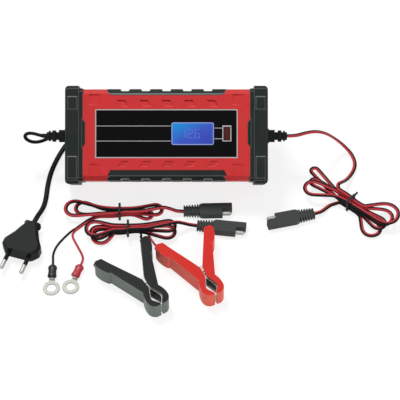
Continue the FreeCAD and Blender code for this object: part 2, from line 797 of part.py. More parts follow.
class Hank:
    """A lead folded into loops that all pass through a tied waist.

    Its own frame has X along the hank. The lead comes in towards +X on top. Each loop beyond the waist
    lies a level lower than the last, and on the near side a loop lies level with the one before it.
    A loop is (length, angle, radius): how far it reaches, its slant, and how round its end is. The
    lead comes in on the right-hand side of the waist where hand is 1, and on the left where it is -1.
    """

    def __init__(self, place, loops, cord, spacing, slope_half, entry, leave, hand, base=1.3):
        (x, y), heading = place
        self.place = FreeCAD.Placement(Vector(x, y, 0), FreeCAD.Rotation(UP, heading))
        self.loops, self.cord = loops, cord
        self.width, self.height = cord
        self.half, self.slope_half = spacing / 2, slope_half
        self.entry, self.leave, self.hand, self.base = entry, leave, hand, base
        self.pitch = self.height + 0.6
        self.top = len(loops) // 2 + 1
        self.exits_far = len(loops) % 2 == 0
        self.wire = Part.Wire(self.edges())

    def level(self, number):
        return self.base + self.height / 2 + number * self.pitch

    def spot(self, x, y, z):
        return self.place.multVec(Vector(x, self.hand * y, z))

    def way(self, x, y):
        return self.place.Rotation.multVec(Vector(x, self.hand * y, 0))

    def straight(self, start, end, z):
        return Part.LineSegment(self.spot(*start, z), self.spot(*end, z)).toShape()

    def step_down(self, high, low):
        """The way through the waist that drops a level, as an S of two arcs."""
        start = self.spot(-self.slope_half, -self.half, high)
        end = self.spot(self.slope_half, -self.half, low)
        along = self.way(1, 0)
        span = end - start
        return biarc(start, along, end, along, span.dot(span) / span.dot(along) / 4)

    def loop(self, sign, length, angle, radius, z):
        """Out from the waist, round the loop's end and back, with straight sides."""
        turn = math.radians(angle) * self.hand
        middle = ((length - radius) * math.cos(turn), (length - radius) * math.sin(turn))
        corner, reach = self.slope_half + 5, 4.5

        def at(x, y):
            return self.spot(sign * x, sign * y, z)

        def round_end(bend):
            return at(middle[0] + radius * math.cos(bend), middle[1] + radius * math.sin(bend))

        bends, ends, tangents, headings = [], [], [], []
        for side in (-1, 1):
            across, up = middle[0] - corner, middle[1] - side * self.half
            away = math.hypot(across, up)
            heading = math.atan2(up, across) + side * math.asin(radius / away)
            run = math.sqrt(away**2 - radius**2)
            bends.append(at(corner - reach, side * self.half))
            ends.append(at(corner + reach * math.cos(heading), side * self.half + reach * math.sin(heading)))
            tangents.append(at(corner + run * math.cos(heading), side * self.half + run * math.sin(heading)))
            headings.append(heading)
        first, last = headings[0] - math.pi / 2, headings[1] + math.pi / 2
        tip = (first + last) / 2
        returning = self.way(-sign * math.cos(headings[1]), -sign * math.sin(headings[1]))
        return [
            Part.LineSegment(at(self.slope_half, -self.half), bends[0]).toShape(),
            arc_between(bends[0], self.way(sign, 0), ends[0]),
            Part.LineSegment(ends[0], tangents[0]).toShape(),
            Part.Arc(tangents[0], round_end((first + tip) / 2), round_end(tip)).toShape(),
            Part.Arc(round_end(tip), round_end((tip + last) / 2), tangents[1]).toShape(),
            Part.LineSegment(tangents[1], ends[1]).toShape(),
            arc_between(ends[1], returning, bends[1]),
            Part.LineSegment(bends[1], at(self.slope_half, self.half)).toShape(),
        ]

    def edges(self):
        b, x1 = self.half, self.slope_half
        z = self.level(self.top)
        edges = [self.straight((-self.entry, -b), (-x1, -b), z)]
        for index, (length, angle, radius) in enumerate(self.loops):
            if index % 2 == 0:
                edges += self.step_down(z, z - self.pitch)
                z -= self.pitch
                edges += self.loop(1, length, angle, radius, z)
            else:
                edges.append(self.straight((x1, b), (-x1, b), z))
                edges += self.loop(-1, length, angle, radius, z)
        if self.exits_far:
            edges += self.step_down(z, z - self.pitch)
            edges.append(self.straight((x1, -b), (self.leave, -b), z - self.pitch))
        else:
            edges.append(self.straight((x1, b), (-self.leave, b), z))
        return edges

    def start(self, before=0.0):
        """Where the lead comes in, or a point straight before that."""
        return self.spot(-self.entry - before, -self.half, self.level(self.top))

    def end(self, after=0.0):
        """Where the lead goes out, or a point straight after that."""
        if self.exits_far:
            return self.spot(self.leave + after, -self.half, self.level(0))
        return self.spot(-self.leave - after, self.half, self.level(0))

    def least_gap(self):
        """The least clear distance between turns, measured square to the cord on points of its path."""
        points = self.wire.discretize(Distance=1)
        apart = int(3 * self.width)
        least = math.inf
        for i, point in enumerate(points[:-1]):
            along = (points[i + 1] - point).normalize()
            aside = along.cross(UP).normalize()
            over = aside.cross(along)
            for other in points[i + apart :]:
                span = other - point
                if abs(span.x) < 8 and abs(span.y) < 8 and abs(span.dot(along)) < 0.55:
                    gap = max(abs(span.dot(aside)) - self.width, abs(span.dot(over)) - self.height)
                    least = min(least, gap)
        return least

    def solid(self, label):
        item = tube(self.wire, label, *self.cord)
        print(f"{label}: least gap between turns {self.least_gap():.2f} mm")
        return item

    def tie(self):
        """A flat band round the waist, with its twisted ends."""
        low, high = self.base - 1.2, self.level(self.top) + self.height / 2 + 1.2
        wide = 2 * self.half + self.width + 1
        band = Part.makeBox(2, wide + 1.6, high - low, Vector(-1, -wide / 2 - 0.8, low))
        hole = Part.makeBox(5, wide, high - low - 1.6, Vector(-2.5, -wide / 2, low + 0.8))
        twist = Part.makeBox(1.6, 5, 1.4, Vector(-0.8, wide / 2 + 0.4, high - 3))
        shape = band.cut(hole).fuse(twist)
        shape.Placement = self.place
        return shape


MAINS = (size("mains_cord_width"), size("mains_cord_height"))
LEAD = (size("lead_width"), size("lead_height"))
WIRE = (size("wire_diameter"), size("wire_diameter"))
WIRE_OFFSET = 1.12

# The mains lead's spare length lies under the charger's raised side, and the other hanks lie in view
mains_hank = Hank(((-25, 27), 0), [(56, 0, 13.5)] * 7, MAINS, 6.1, 13, 56, 56, 1)
output_loops = [
    (46, 14, 11.5),
    (45, 15, 8),
    (42, 8, 9),
    (44, 2, 4),
    (39, -3, 6.5),
    (54, -13, 3.6),
    (40, -17, 8.5),
]
output_hank = Hank(((170.3, -50.1), -39), output_loops, LEAD, 5.2, 8, 12.4, 5, -1)
ring_loops = [(50, -4, 8.5), (39, 2, 6), (41, -8, 7), (30, -6, 5)]
ring_hank = Hank(((-43.5, -59.8), 180), ring_loops, LEAD, 5.2, 8, 12.4, 13, -1)
clamp_loops = [(38, 2, 8), (43, 3, 6), (34, 8, 7), (43, -5, 7), (33, 14, 8)]
clamp_hank = Hank(((-35.3, -79.2), 180), clamp_loops, LEAD, 5.2, 8, 12.4, 4.5, -1)


# Couplings, plug and ring terminals. Each is modelled along its own X axis, lying on Z = 0


RELIEF_END = 15
PIN_FACE = 36


def connector_shell(label, place):
    """One half of a two-pole coupling: a bare pin beside a shrouded socket."""
    height = "Size.connector_height"
    core = box(f"{RELIEF_END + 2}", "7.4", "5", f"{(RELIEF_END + 2) / 2}", "0", "1.3")
    ribs = [box("1.5", f"{8.6 + 0.45 * i}", "6.4", f"{0.75 + 2.5 * i}", "0", "0.6") for i in range(6)]
    body = new_body(label + "_case")
    plan = new_sketch(body, "XY_Plane")
    side = "Size.connector_width / 2"
    outline(
        plan,
        [
            (f"{RELIEF_END - 0.6}", f"-({side}) + 2.6"),
            (f"{RELIEF_END + 3}", f"-({side})"),
            (f"{PIN_FACE}", f"-({side})"),
            (f"{PIN_FACE}", "-0.1"),
            ("Size.connector_length", "-0.1"),
            ("Size.connector_length", side),
            (f"{RELIEF_END + 3}", side),
            (f"{RELIEF_END - 0.6}", f"{side} - 2.6"),
        ],
    )
    pad(body, plan, height)
    dress(body, "Chamfer", 1.3, long_level_edge)
    bore = new_sketch(body, "YZ_Plane", "Size.connector_length")
    circle(bore, "Size.contact_spacing / 2", f"{height} / 2", "Size.shroud_radius")
    pocket(body, bore, "Size.shroud_depth")
    root_hole = new_sketch(body, "YZ_Plane", f"{PIN_FACE}")
    polygon(root_hole, "-Size.contact_spacing / 2", f"{height} / 2", "Size.root_radius")
    pocket(body, root_hole, "8")
    return keep(fuse([body, core, *ribs]), label, laid(place))


def long_level_edge(edge):
    """Whether an edge runs lengthwise along the top or bottom of a connector's side."""
    a, b = (vertex.Point for vertex in edge.Vertexes)
    level = abs(a.z - b.z) < 0.01 and abs(a.y - b.y) < 0.01
    return level and abs(a.x - b.x) > 8 and abs(abs(a.y) - size("connector_width") / 2) < 0.01


def eight_sided(x, y, z, radius, squash=1.0):
    """An octagon square to X that stands on a flat side."""
    turns = [math.pi * (2 * k + 1) / 8 for k in range(8)]
    corners = [Vector(x, y + radius * math.cos(a), z + squash * radius * math.sin(a)) for a in turns]
    return Part.makePolygon([*corners, corners[0]])


def contacts(place):
    """The brass pin and socket sleeve of one connector."""
    radius = size("contact_diameter") / 2
    middle = size("connector_height") / 2
    aside = size("contact_spacing") / 2
    along = Vector(1, 0, 0)
    root_length, straight = 8, 6.5
    rod = eight_sided(PIN_FACE - root_length, -aside, middle, size("root_radius"))
    root = Part.Face(rod).extrude(along * (root_length + 1))
    pin = Part.makeCylinder(radius, straight, Vector(PIN_FACE, -aside, middle), along)
    tip = Part.makeCone(radius, radius * 0.45, 1.9, Vector(PIN_FACE + straight, -aside, middle), along)
    bottom = size("connector_length") - size("shroud_depth")
    barrel = eight_sided(bottom, aside, middle, size("shroud_radius") - 0.01)
    bore = Part.makeCylinder(radius + 0.05, 11.5, Vector(bottom + 0.5, aside, middle), along)
    sleeve = Part.Face(barrel).extrude(along * 12).cut(bore)
    shape = Part.makeCompound([pin.fuse([tip, root]).removeSplitter(), sleeve])
    shape.Placement = laid(place)
    return shape


def mains_plug():
    """A flat two-pin plug with its strain collar."""
    body = new_body("plug_body")
    plan = new_sketch(body, "XY_Plane", "0")
    wide = "Size.plug_width / 2"
    right = [
        ("2.4", "6"),
        ("5.4", "6"),
        ("7.5", "8.2"),
        ("15", "11.4"),
        ("25", wide),
        ("31", wide),
        ("Size.plug_length", "13.4"),
    ]
    outline(plan, [(x, y) for x, y in right] + [(x, f"-({y})") for x, y in reversed(right)])
    pad(body, plan, "Size.plug_height", True)
    dress(body, "Chamfer", 2.4, plug_side)
    collar = new_sketch(body, "YZ_Plane")
    outline(collar, octagon("7.6", "-4.6", "4.6", "2"))
    pad(body, collar, "2.6")
    place = laid(PLUG_PLACE, size("plug_height") / 2)
    keep(body, "plug_body", place)
    start = "Size.plug_length"
    sides = [f"{sign} * Size.plug_pin_spacing / 2" for sign in (-1, 1)]
    thin = "Size.plug_pin_diameter / 2 - 0.5"
    pins = []
    sleeves = []
    for y in sides:
        core = lying(prism(thin, "Size.plug_sleeve_length + 1", start, y, sides=6))
        metal = lying_cylinder(
            "Size.plug_pin_diameter / 2",
            "Size.plug_pin_length - Size.plug_sleeve_length - 1",
            f"{start} + Size.plug_sleeve_length",
            y,
        )
        nose = doc.addObject("Part::Cone", "Nose")
        nose.Placement = FreeCAD.Placement(Vector(), FreeCAD.Rotation(Vector(0, 1, 0), 90))
        bind(nose, Radius1="Size.plug_pin_diameter / 2", Radius2="Size.plug_pin_diameter / 4", Height="1")
        bind(nose, Placement__Base__x=f"{start} + Size.plug_pin_length - 1")
        bind(nose, Placement__Base__y=y, Placement__Base__z="0")
        pins.append(fuse([core, metal, nose]))
        skin = lying_cylinder("Size.plug_pin_diameter / 2", "Size.plug_sleeve_length", start, y)
        bore = lying(prism(thin, "Size.plug_sleeve_length + 2", f"{start} - 1", y, sides=6))
        sleeves.append(cut(skin, bore))
    keep(group(pins), "plug_pins", place)
    keep(group(sleeves), "plug_pin_sleeves", place)


def plug_side(edge):
    """Whether an edge runs along the plug's side, above or below, and not round its front or its neck."""
    a, b = (vertex.Point for vertex in edge.Vertexes)
    level = all(abs(abs(point.z) - size("plug_height") / 2) < 0.01 for point in (a, b))
    return level and min(a.x, b.x) > 7 and abs(a.x - b.x) > 2


RING_SLEEVE_LENGTH = 13.6
RING_SLEEVE_MIDDLE = 3.2
RING_CENTRE = 23.8


def ring_terminal(place):
    """A ring for a bolt, flat on the surface, with the neck that its sleeve covers."""
    thick = size("ring_thickness")
    ring = Part.makeCylinder(size("ring_diameter") / 2, thick, Vector(RING_CENTRE, 0, 0))
    tongue_length = RING_CENTRE - RING_SLEEVE_LENGTH - 5
    tongue = Part.makeBox(tongue_length, 5, thick, Vector(RING_SLEEVE_LENGTH, -2.5, 0))
    neck = Part.makeBox(1.6, 3.4, 3.2, Vector(RING_SLEEVE_LENGTH, -1.7, 0))
    hole = Part.makeCylinder(size("ring_hole") / 2, 4, Vector(RING_CENTRE, 0, -1))
    shape = ring.fuse([tongue, neck]).cut(hole).removeSplitter()
    shape.Placement = laid(place)
    return shape


def ring_sleeve(label, place):
    """The soft cover crimped over a ring's barrel."""
    stations = [(0, 2), (2.6, 4.3), (7, 3.7), (RING_SLEEVE_LENGTH, 4.4)]
    wires = [eight_sided(x, 0, RING_SLEEVE_MIDDLE, half, 0.68) for x, half in stations]
    shape = Part.makeLoft(wires, True, True)
    shape.Placement = laid(place)
    return made(shape, label)


# Battery clamps. Each has X from the tips of the jaws to the handles and lies on its side


def clamp_outline(points, side):
    """A closed face from lines and arcs: a triple is the middle of an arc, given before its end."""
    edges = []
    start = Vector(points[0][0], points[0][1] * side, 0)
    first, middle = start, None
    for point in [*points[1:], points[0]]:
        spot = Vector(point[0], point[1] * side, 0)
        if len(point) == 3:
            middle = spot
            continue
        if middle is None:
            edges.append(Part.LineSegment(start, spot).toShape())
        else:
            edges.append(Part.Arc(start, middle, spot).toShape())
        start, middle = spot, None
    return Part.Face(Part.Wire(edges))


def slab(face, low, high):
    """A prism of a flat face between two heights."""
    lowered = face.copy()
    lowered.translate(Vector(0, 0, low))
    return lowered.extrude(Vector(0, 0, high - low))


def disc(radius, low, high):
    return Part.makeCylinder(radius, high - low, Vector(size("clamp_pivot"), 0, low))


def faceted_disc(radius, low, high, sides=12):
    """A disc round the pivot with flat sides."""
    turns = [2 * math.pi * k / sides for k in range(sides)]
    centre = Vector(size("clamp_pivot"), 0, low)
    corners = [centre + Vector(radius * math.cos(a), radius * math.sin(a), 0) for a in turns]
    return Part.Face(Part.makePolygon([*corners, corners[0]])).extrude(UP * (high - low))


SLEEVE = [
    (0, 0.9),
    (0, 4.6),
    (2.4, 8.4, "arc"),
    (7.4, 10.3),
    (13, 9.9, "arc"),
    (19, 7.8),
    (53, 20.9),
    (53.4, 22.6),
    (61, 26.8, "arc"),
    (67, 28.2),
    (70.2, 27.2, "arc"),
    (71, 24.4),
    (70.5, 20.4),
    (62, 16.4),
    (50, 10.2),
    (37, 3.7),
    (31, 1.0),
    (21, 0.9),
    (11, 5.2),
    (8, 5.2),
    (1.8, 0.9),
]
CHANNEL = [
    (0.8, 0.12),
    (0.8, 3.6),
    (3.8, 7.2),
    (7.4, 8.4),
    (12.4, 8.2),
    (19.4, 5.9),
    (60, 21.6),
    (61.4, 17.6),
    (50, 11.6),
    (37, 4.8),
    (31, 0.12),
]
HANDLE_ROOM = [
    (40, 6.8),
    (40, 13.8),
    (54, 19.6),
    (61, 24.8),
    (66.6, 26.2),
    (69, 24),
    (68.6, 21.4),
    (52, 12.9),
]
HOLLOW = [
    (2.2, -3),
    (2.2, 3.2),
    (4.6, 6),
    (7.8, 7.1),
    (12, 6.9),
    (19.6, 4.6),
    (60.4, 20.4),
    (66, 16),
    (52, -3),
]
MOUTH = [(21, -1), (21, 0.12), (11, 4.4), (8, 4.4), (1.6, 0.12), (1.6, -1)]
NOZZLE_START = (67, 23.4)
NOZZLE_LENGTH = 7
NOZZLE_SLANT = 10
NOZZLE_RADIUS = 2.9
FIXED_JAW_INSET = 2
MOVING_JAW_INSET = 3.5


def jaw(side, gap):
    """A steel channel, its flanges set in from the clamp's faces by gap."""
    low, high, wall = gap, size("clamp_thickness") - gap, 1.2
    hollow = slab(clamp_outline(HOLLOW, side), low + wall, high - wall)
    shape = slab(clamp_outline(CHANNEL, side), low, high).cut(hollow)
    shape = shape.cut(slab(clamp_outline(MOUTH, side), low - 1, high + 1))
    for bottom in (low, high - wall):
        shape = shape.fuse(faceted_disc(4.6, bottom, bottom + wall))
    hole = faceted_disc(size("clamp_pin_diameter") / 2 + 0.16, 0, size("clamp_thickness"))
    return shape.cut(hole).removeSplitter()


def sleeve(side):
    """The plastic cover of one jaw and handle, hollow for the steel, with a nozzle for a wire."""
    thick = size("clamp_thickness")
    shape = slab(clamp_outline(SLEEVE, side), 0, thick)
    shape = shape.cut(slab(clamp_outline(CHANNEL, side), 2, thick - 2))
    shape = shape.cut(slab(clamp_outline(HANDLE_ROOM, side), 3.2, thick - 3.2))
    shape = shape.cut(faceted_disc(3.3, 0.7, thick - 0.7))
    shape = shape.cut(faceted_disc(6.8, 2, thick - 2, 16))
    slant = math.radians(NOZZLE_SLANT)
    along = Vector(math.cos(slant), side * math.sin(slant), 0)
    x, y = NOZZLE_START
    centre = Vector(x, side * y, thick / 2)
    end = eight_sided(0, 0, 0, NOZZLE_RADIUS)
    end.Placement = FreeCAD.Placement(centre, FreeCAD.Rotation(UP, side * NOZZLE_SLANT))
    nozzle = Part.Face(end).extrude(along * NOZZLE_LENGTH)
    return shape.fuse(nozzle).removeSplitter()


def clamp_spring(side, place):
    """A torsion spring round the pivot, with a leg in each handle."""
    turns, radius, low, high = 3, 4.3, 6, 11
    thick, leg, last_leg = 1.15, 12, 6
    rise = (high - low) / (2 * turns)
    centre = Vector(size("clamp_pivot"), 0, 0)
    first_angle = math.radians(118 * side)

    def spot(k):
        angle = first_angle + math.pi * k * side
        return centre + Vector(radius * math.cos(angle), radius * math.sin(angle), low + rise * k)

    def heading(k):
        angle = first_angle + math.pi * k * side
        return Vector(-math.sin(angle) * side, math.cos(angle) * side, rise / math.pi / radius).normalize()

    last = 2 * turns
    begin = spot(0) - heading(0) * leg
    edges = [Part.LineSegment(begin, spot(0)).toShape()]
    for k in range(last):
        first, then = spot(k), spot(k + 1)
        edges += biarc(first, heading(k), then, heading(k + 1), radius * 1.35)
    edges.append(Part.LineSegment(spot(last), spot(last) + heading(last) * last_leg).toShape())
    profile = section(begin, heading(0), thick, thick)
    shape = Part.Wire(edges).makePipeShell([profile], True, False)
    shape.Placement = place
    return shape


def clamp(colour, place, fixed_side):
    """A spring clamp: the fixed arm carries the wire, and the other arm swings."""
    spot = laid(place)
    pieces = {
        "fixed_jaw": jaw(fixed_side, FIXED_JAW_INSET),
        "moving_jaw": jaw(-fixed_side, MOVING_JAW_INSET),
        "fixed_sleeve": sleeve(fixed_side),
        "moving_sleeve": sleeve(-fixed_side),
    }
    for name, shape in pieces.items():
        shape.Placement = spot
        made(shape, f"{colour}_{name}")
    thick, inset = size("clamp_thickness"), 0.8
    heads = [faceted_disc(2.9, low, low + 1) for low in (inset, thick - inset - 1)]
    pin = disc(size("clamp_pin_diameter") / 2, inset + 0.4, thick - inset - 0.4)
    pin = pin.fuse(heads).removeSplitter()
    pin.Placement = spot
    return pin, clamp_spring(fixed_side, spot)


def wire_entry(place, side, back):
    """The point where a wire meets a clamp's nozzle, or one further back from it."""
    slant = math.radians(NOZZLE_SLANT)
    x = NOZZLE_START[0] + (NOZZLE_LENGTH + back) * math.cos(slant)
    y = NOZZLE_START[1] + (NOZZLE_LENGTH + back) * math.sin(slant)
    return laid(place).multVec(Vector(x, side * y, size("clamp_thickness") / 2))


# The case and what it holds
front_cover()
rear_cover()
cover_seal()
bumper("left_bumper", -1)
bumper("right_bumper", 1)
side_grip("top_grip", 1)
side_grip("bottom_grip", -1)
display()
mode_button()
boards()
transformer()
capacitors()
choke()
heat_sink()
fuse_link()
screws()
doc.recompute()

# The case leans back: its lowest edge is on the surface and its box is centred on the origin
lean = FreeCAD.Rotation(Vector(1, 0, 0), size("lean"))
extent = doc.getObject("LeftBumper").Shape.copy()
extent.Placement = FreeCAD.Placement(Vector(), lean)
room = extent.BoundBox
case_place = FreeCAD.Placement(Vector(0, -(room.YMin + room.YMax) / 2, -room.ZMin), lean)
for item in nodes:
    item.Placement = case_place
for label, sign in (("mains_gland", -1), ("output_gland", 1)):
    item = gland(label, sign)
    outwards = FreeCAD.Rotation(UP, 0 if sign > 0 else 180)
    local = FreeCAD.Placement(Vector(sign * size("case_length") / 2, 0, size("parting")), outwards)
    item.Placement = case_place.multiply(local)


def gland_tip(sign):
    reach = size("case_length") / 2 + size("gland_length")
    return case_place.multVec(Vector(sign * reach, 0, size("parting")))


def lead(label, points, cord, level_end=False):
    """A free stretch of cord through the points of its route, level at its start or at its end."""
    return tube(rounded(points[::-1] if level_end else points, label), label, *cord)


# Mains lead: a fold beside the gland, then under the case, and from the hank to the plug
plug_rear = laid(PLUG_PLACE, size("plug_height") / 2)
mains_floor = MAINS[1] / 2 + 0.25
lead(
    "mains_cord_run",
    [
        gland_tip(-1),
        gland_tip(-1) + Vector(-5, 0, 0),
        (-123, 0.8, 46),
        (-128.8, 1.2, 46.2),
        (-132.4, 1.9, 42),
        (-131.2, 1.2, 37),
        (-125.8, 0.6, 33.6),
        (-118, 3.4, 31.2),
        (-108, 12, 29.4),
        (-98.4, 18.4, 25),
        mains_hank.start(6.5),
        mains_hank.start(),
    ],
    MAINS,
    level_end=True,
)
mains_hank.solid("mains_cord_hank")
lead(
    "mains_cord_tail",
    [
        mains_hank.end(),
        mains_hank.end(8),
        (-96.6, 26.4, mains_floor + 0.4),
        (-101.2, 17.6, mains_floor),
        (-106.4, 4.4, mains_floor),
        (-110.6, -10.5, mains_floor),
        (-112.6, -27, mains_floor),
        (-113.0, -42, mains_floor),
        (-114.8, -54, mains_floor + 1.4),
        plug_rear.multVec(Vector(-8, 0, 0)),
        plug_rear.Base,
    ],
    MAINS,
)
mains_plug()

# Output lead: over the right gland, down to the surface, through its hank and to its connector
floor = LEAD[1] / 2 + 0.15
output_entry = laid(OUTPUT_CONNECTOR_PLACE, size("connector_height") / 2)
lead(
    "output_cord_run",
    [
        gland_tip(1),
        gland_tip(1) + Vector(8, 0, 0),
        (128, 4.5, 42.2),
        (138.5, 10.5, 38),
        (149, 15.6, 29.5),
        (158.2, 18.8, 18.5),
        (167.5, 18.6, 8.6),
        (175.6, 11.8, 3.2),
        (178.6, 0.6, 2.5),
        (175.8, -9.4, 2.5),
        (171, -17.4, 3.6),
        (166.8, -24.2, 7.2),
        (162.6, -29.6, 11.6),
        (159, -33.6, 14),
        output_hank.start(4),
        output_hank.start(),
    ],
    LEAD,
    level_end=True,
)
output_hank.solid("output_cord_hank")
lead(
    "output_cord_tail",
    [
        output_hank.end(),
        output_hank.end(5),
        (157.2, -46.8, floor + 0.3),
        (151.8, -48.6, floor + 0.1),
        (147.4, -53.0, floor + 0.7),
        output_entry.multVec(Vector(-6, 0, 0)),
        output_entry.Base,
    ],
    LEAD,
)
connector_shell("output_connector", OUTPUT_CONNECTOR_PLACE)

# Ring lead: from its connector over its hank, then to the split and to the two rings
ring_entry = laid(RING_CONNECTOR_PLACE, size("connector_height") / 2)
lead(
    "ring_cord_run",
    [
        ring_entry.Base,
        ring_entry.multVec(Vector(-5.5, 0, 0)),
        (4, -57.6, 7),
        (-2.8, -58.8, 11.8),
        (-11.4, -61.2, 12.2),
        (-20.4, -63, 11.6),
        ring_hank.start(5),
        ring_hank.start(),
    ],
    LEAD,
    level_end=True,
)
ring_hank.solid("ring_cord_hank")
split = Vector(-84.4, -77.6, floor)
before_split = Vector(-77.2, -70.8, floor)
beside_split = (split - before_split).normalize().cross(UP) * WIRE_OFFSET
lead(
    "ring_cord_tail",
    [
        ring_hank.end(),
        ring_hank.end(7),
        (-70.8, -65.2, floor + 0.2),
        before_split,
        split,
    ],
    LEAD,
)
wire_floor = WIRE[1] / 2 + 0.15
black_ring_entry = laid(BLACK_RING_PLACE, RING_SLEEVE_MIDDLE)
red_ring_entry = laid(RED_RING_PLACE, RING_SLEEVE_MIDDLE)
lead(
    "ring_wire_black",
    [
        split + beside_split,
        split + beside_split + (split - before_split) * 0.55,
        (-95.2, -88.4, wire_floor),
        (-100.6, -96.8, wire_floor),
        (-102.8, -106.6, wire_floor + 0.6),
        black_ring_entry.multVec(Vector(-5, 0, 0)),
        black_ring_entry.Base,
    ],
    WIRE,
)
lead(
    "ring_wire_red",
    [
        split - beside_split,
        split - beside_split + (split - before_split) * 0.3,
        (-86.2, -85.2, wire_floor),
        (-83.0, -92.0, wire_floor),
        (-79.0, -99.8, wire_floor),
        (-75.6, -107.4, wire_floor + 0.6),
        red_ring_entry.multVec(Vector(-5, 0, 0)),
        red_ring_entry.Base,
    ],
    WIRE,
)
ring_sleeve("ring_sleeve_black", BLACK_RING_PLACE)
ring_sleeve("ring_sleeve_red", RED_RING_PLACE)
made(Part.makeCompound([ring_terminal(BLACK_RING_PLACE), ring_terminal(RED_RING_PLACE)]), "ring_terminals")
connector_shell("ring_connector", RING_CONNECTOR_PLACE)

# Clamp lead: from its connector over its hank, and as two wires to the clamps' fixed handles
clamp_entry = laid(CLAMP_CONNECTOR_PLACE, size("connector_height") / 2)
lead(
    "clamp_cord_run",
    [
        clamp_entry.Base,
        clamp_entry.multVec(Vector(-6, 0, 0)),
        (16, -74.2, 7.2),
        (9, -76.2, 12),
        (0, -79, 12.2),
        (-9.6, -80.8, 11.6),
        clamp_hank.start(5),
        clamp_hank.start(),
    ],
    LEAD,
    level_end=True,
)
clamp_hank.solid("clamp_cord_hank")
connector_shell("clamp_connector", CLAMP_CONNECTOR_PLACE)
black_pin, black_spring = clamp("black", BLACK_CLAMP_PLACE, -1)
red_pin, red_spring = clamp("red", RED_CLAMP_PLACE, 1)
lead(
    "clamp_wire_black",
    [
        clamp_hank.end() + Vector(0, -WIRE_OFFSET, 0),
        clamp_hank.end(3.4) + Vector(0, -WIRE_OFFSET, 0),
        (-23.8, -80.6, wire_floor + 0.2),
        (-22.8, -85.6, 2.4),
        (-23.4, -89.0, 5.4),
        wire_entry(BLACK_CLAMP_PLACE, -1, 4.4),
        wire_entry(BLACK_CLAMP_PLACE, -1, 0),
    ],
    WIRE,
)
lead(
    "clamp_wire_red",
    [
        clamp_hank.end() + Vector(0, WIRE_OFFSET, 0),
        clamp_hank.end(5) + Vector(0, WIRE_OFFSET, 0),
        (-20.0, -77.6, wire_floor),
        (-16.6, -82.6, wire_floor),
        (-14.2, -88.2, wire_floor + 0.1),
        (-12.4, -93.2, 4.4),
        wire_entry(RED_CLAMP_PLACE, 1, 5.6),
        wire_entry(RED_CLAMP_PLACE, 1, 0),
    ],
    WIRE,
)
made(Part.makeCompound([black_pin, red_pin]), "clamp_pivot_pins")
made(Part.makeCompound([black_spring, red_spring]), "clamp_springs")
places = (OUTPUT_CONNECTOR_PLACE, RING_CONNECTOR_PLACE, CLAMP_CONNECTOR_PLACE)
made(Part.makeCompound([contacts(place) for place in places]), "connector_contacts")
hanks = (mains_hank, output_hank, ring_hank, clamp_hank)
made(Part.makeCompound([hank.tie() for hank in hanks]), "cord_ties")

doc.recompute()
failed = [item.Label for item in doc.Objects if {"Invalid", "Error"} & set(item.State)]
if failed:
    raise ValueError(f"these did not build: {failed}")
for item in nodes:
    if item.Shape.isNull() or not item.Shape.isValid() or not item.Shape.Solids:
        raise ValueError(f"{item.Label} has no valid solid")

os.makedirs("parts", exist_ok=True)
for item in nodes:
    item.Shape.exportStep(os.path.join("parts", f"{item.Label}.step"))
print(f"{len(nodes)} sub-parts written")
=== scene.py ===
"""The looks of a leaning car battery charger with its mains lead, output lead and two spare leads.

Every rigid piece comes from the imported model, as it is or with its edges rounded. The cords, the
sleeves of the ring terminals and the lit pane of the display are made here. Lengths and the points
of the routes are in millimetres, as in the part's source, and all is in metres in the scene.
"""

import json
import logging
import math
from collections.abc import Callable, Iterator
from contextlib import contextmanager
from dataclasses import dataclass
from enum import Enum
from typing import ClassVar

import bpy
from mathutils import Matrix, Vector


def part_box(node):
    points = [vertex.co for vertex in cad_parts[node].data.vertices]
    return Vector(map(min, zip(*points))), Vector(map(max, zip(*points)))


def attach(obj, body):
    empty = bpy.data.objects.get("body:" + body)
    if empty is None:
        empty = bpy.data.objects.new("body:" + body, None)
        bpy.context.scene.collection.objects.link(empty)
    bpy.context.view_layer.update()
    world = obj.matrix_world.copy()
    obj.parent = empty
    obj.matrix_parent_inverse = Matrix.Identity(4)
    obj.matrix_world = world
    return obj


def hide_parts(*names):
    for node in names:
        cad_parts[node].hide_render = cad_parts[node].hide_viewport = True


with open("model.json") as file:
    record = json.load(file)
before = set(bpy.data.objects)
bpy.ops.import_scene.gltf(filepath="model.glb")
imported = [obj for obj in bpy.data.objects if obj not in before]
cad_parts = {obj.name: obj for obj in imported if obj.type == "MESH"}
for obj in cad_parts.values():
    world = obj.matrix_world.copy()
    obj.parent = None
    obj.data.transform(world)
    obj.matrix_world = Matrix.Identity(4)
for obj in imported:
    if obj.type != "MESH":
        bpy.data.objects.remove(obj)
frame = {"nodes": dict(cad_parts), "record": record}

MM = 0.001
UP = Vector((0.0, 0.0, 1.0))

Item = bpy.types.Object
Material = bpy.types.Material
Node = bpy.types.Node
Socket = bpy.types.NodeSocket
Tree = bpy.types.NodeTree
Colour = tuple[float, float, float]
Point = tuple[float, float, float]
# A loose piece's x, y and heading in degrees
Place = tuple[float, float, float]
# A cord's section: points across and up, each with the material of the face after it
Profile = list[tuple[float, float, int]]
# Stations with a value at each, or ranges with their two ends
Pairs = tuple[tuple[float, float], ...]

log = logging.getLogger("charger")


class FarEnd(Enum):
    """What a cord ends in."""

    PLUG = "plug"
    CONNECTOR = "connector"
    FITTING = "fitting"
    CLAMP = "object"


class Stiffness(Enum):
    """How freely a cord bends."""

    MEDIUM = "medium"
    LIMP = "limp"


class Corners(Enum):
    """What the corners of a piece are, when they are rounded: a block's edges or a sheet's points."""

    OF_BLOCK = "EDGES"
    OF_SHEET = "VERTICES"


# Shader building


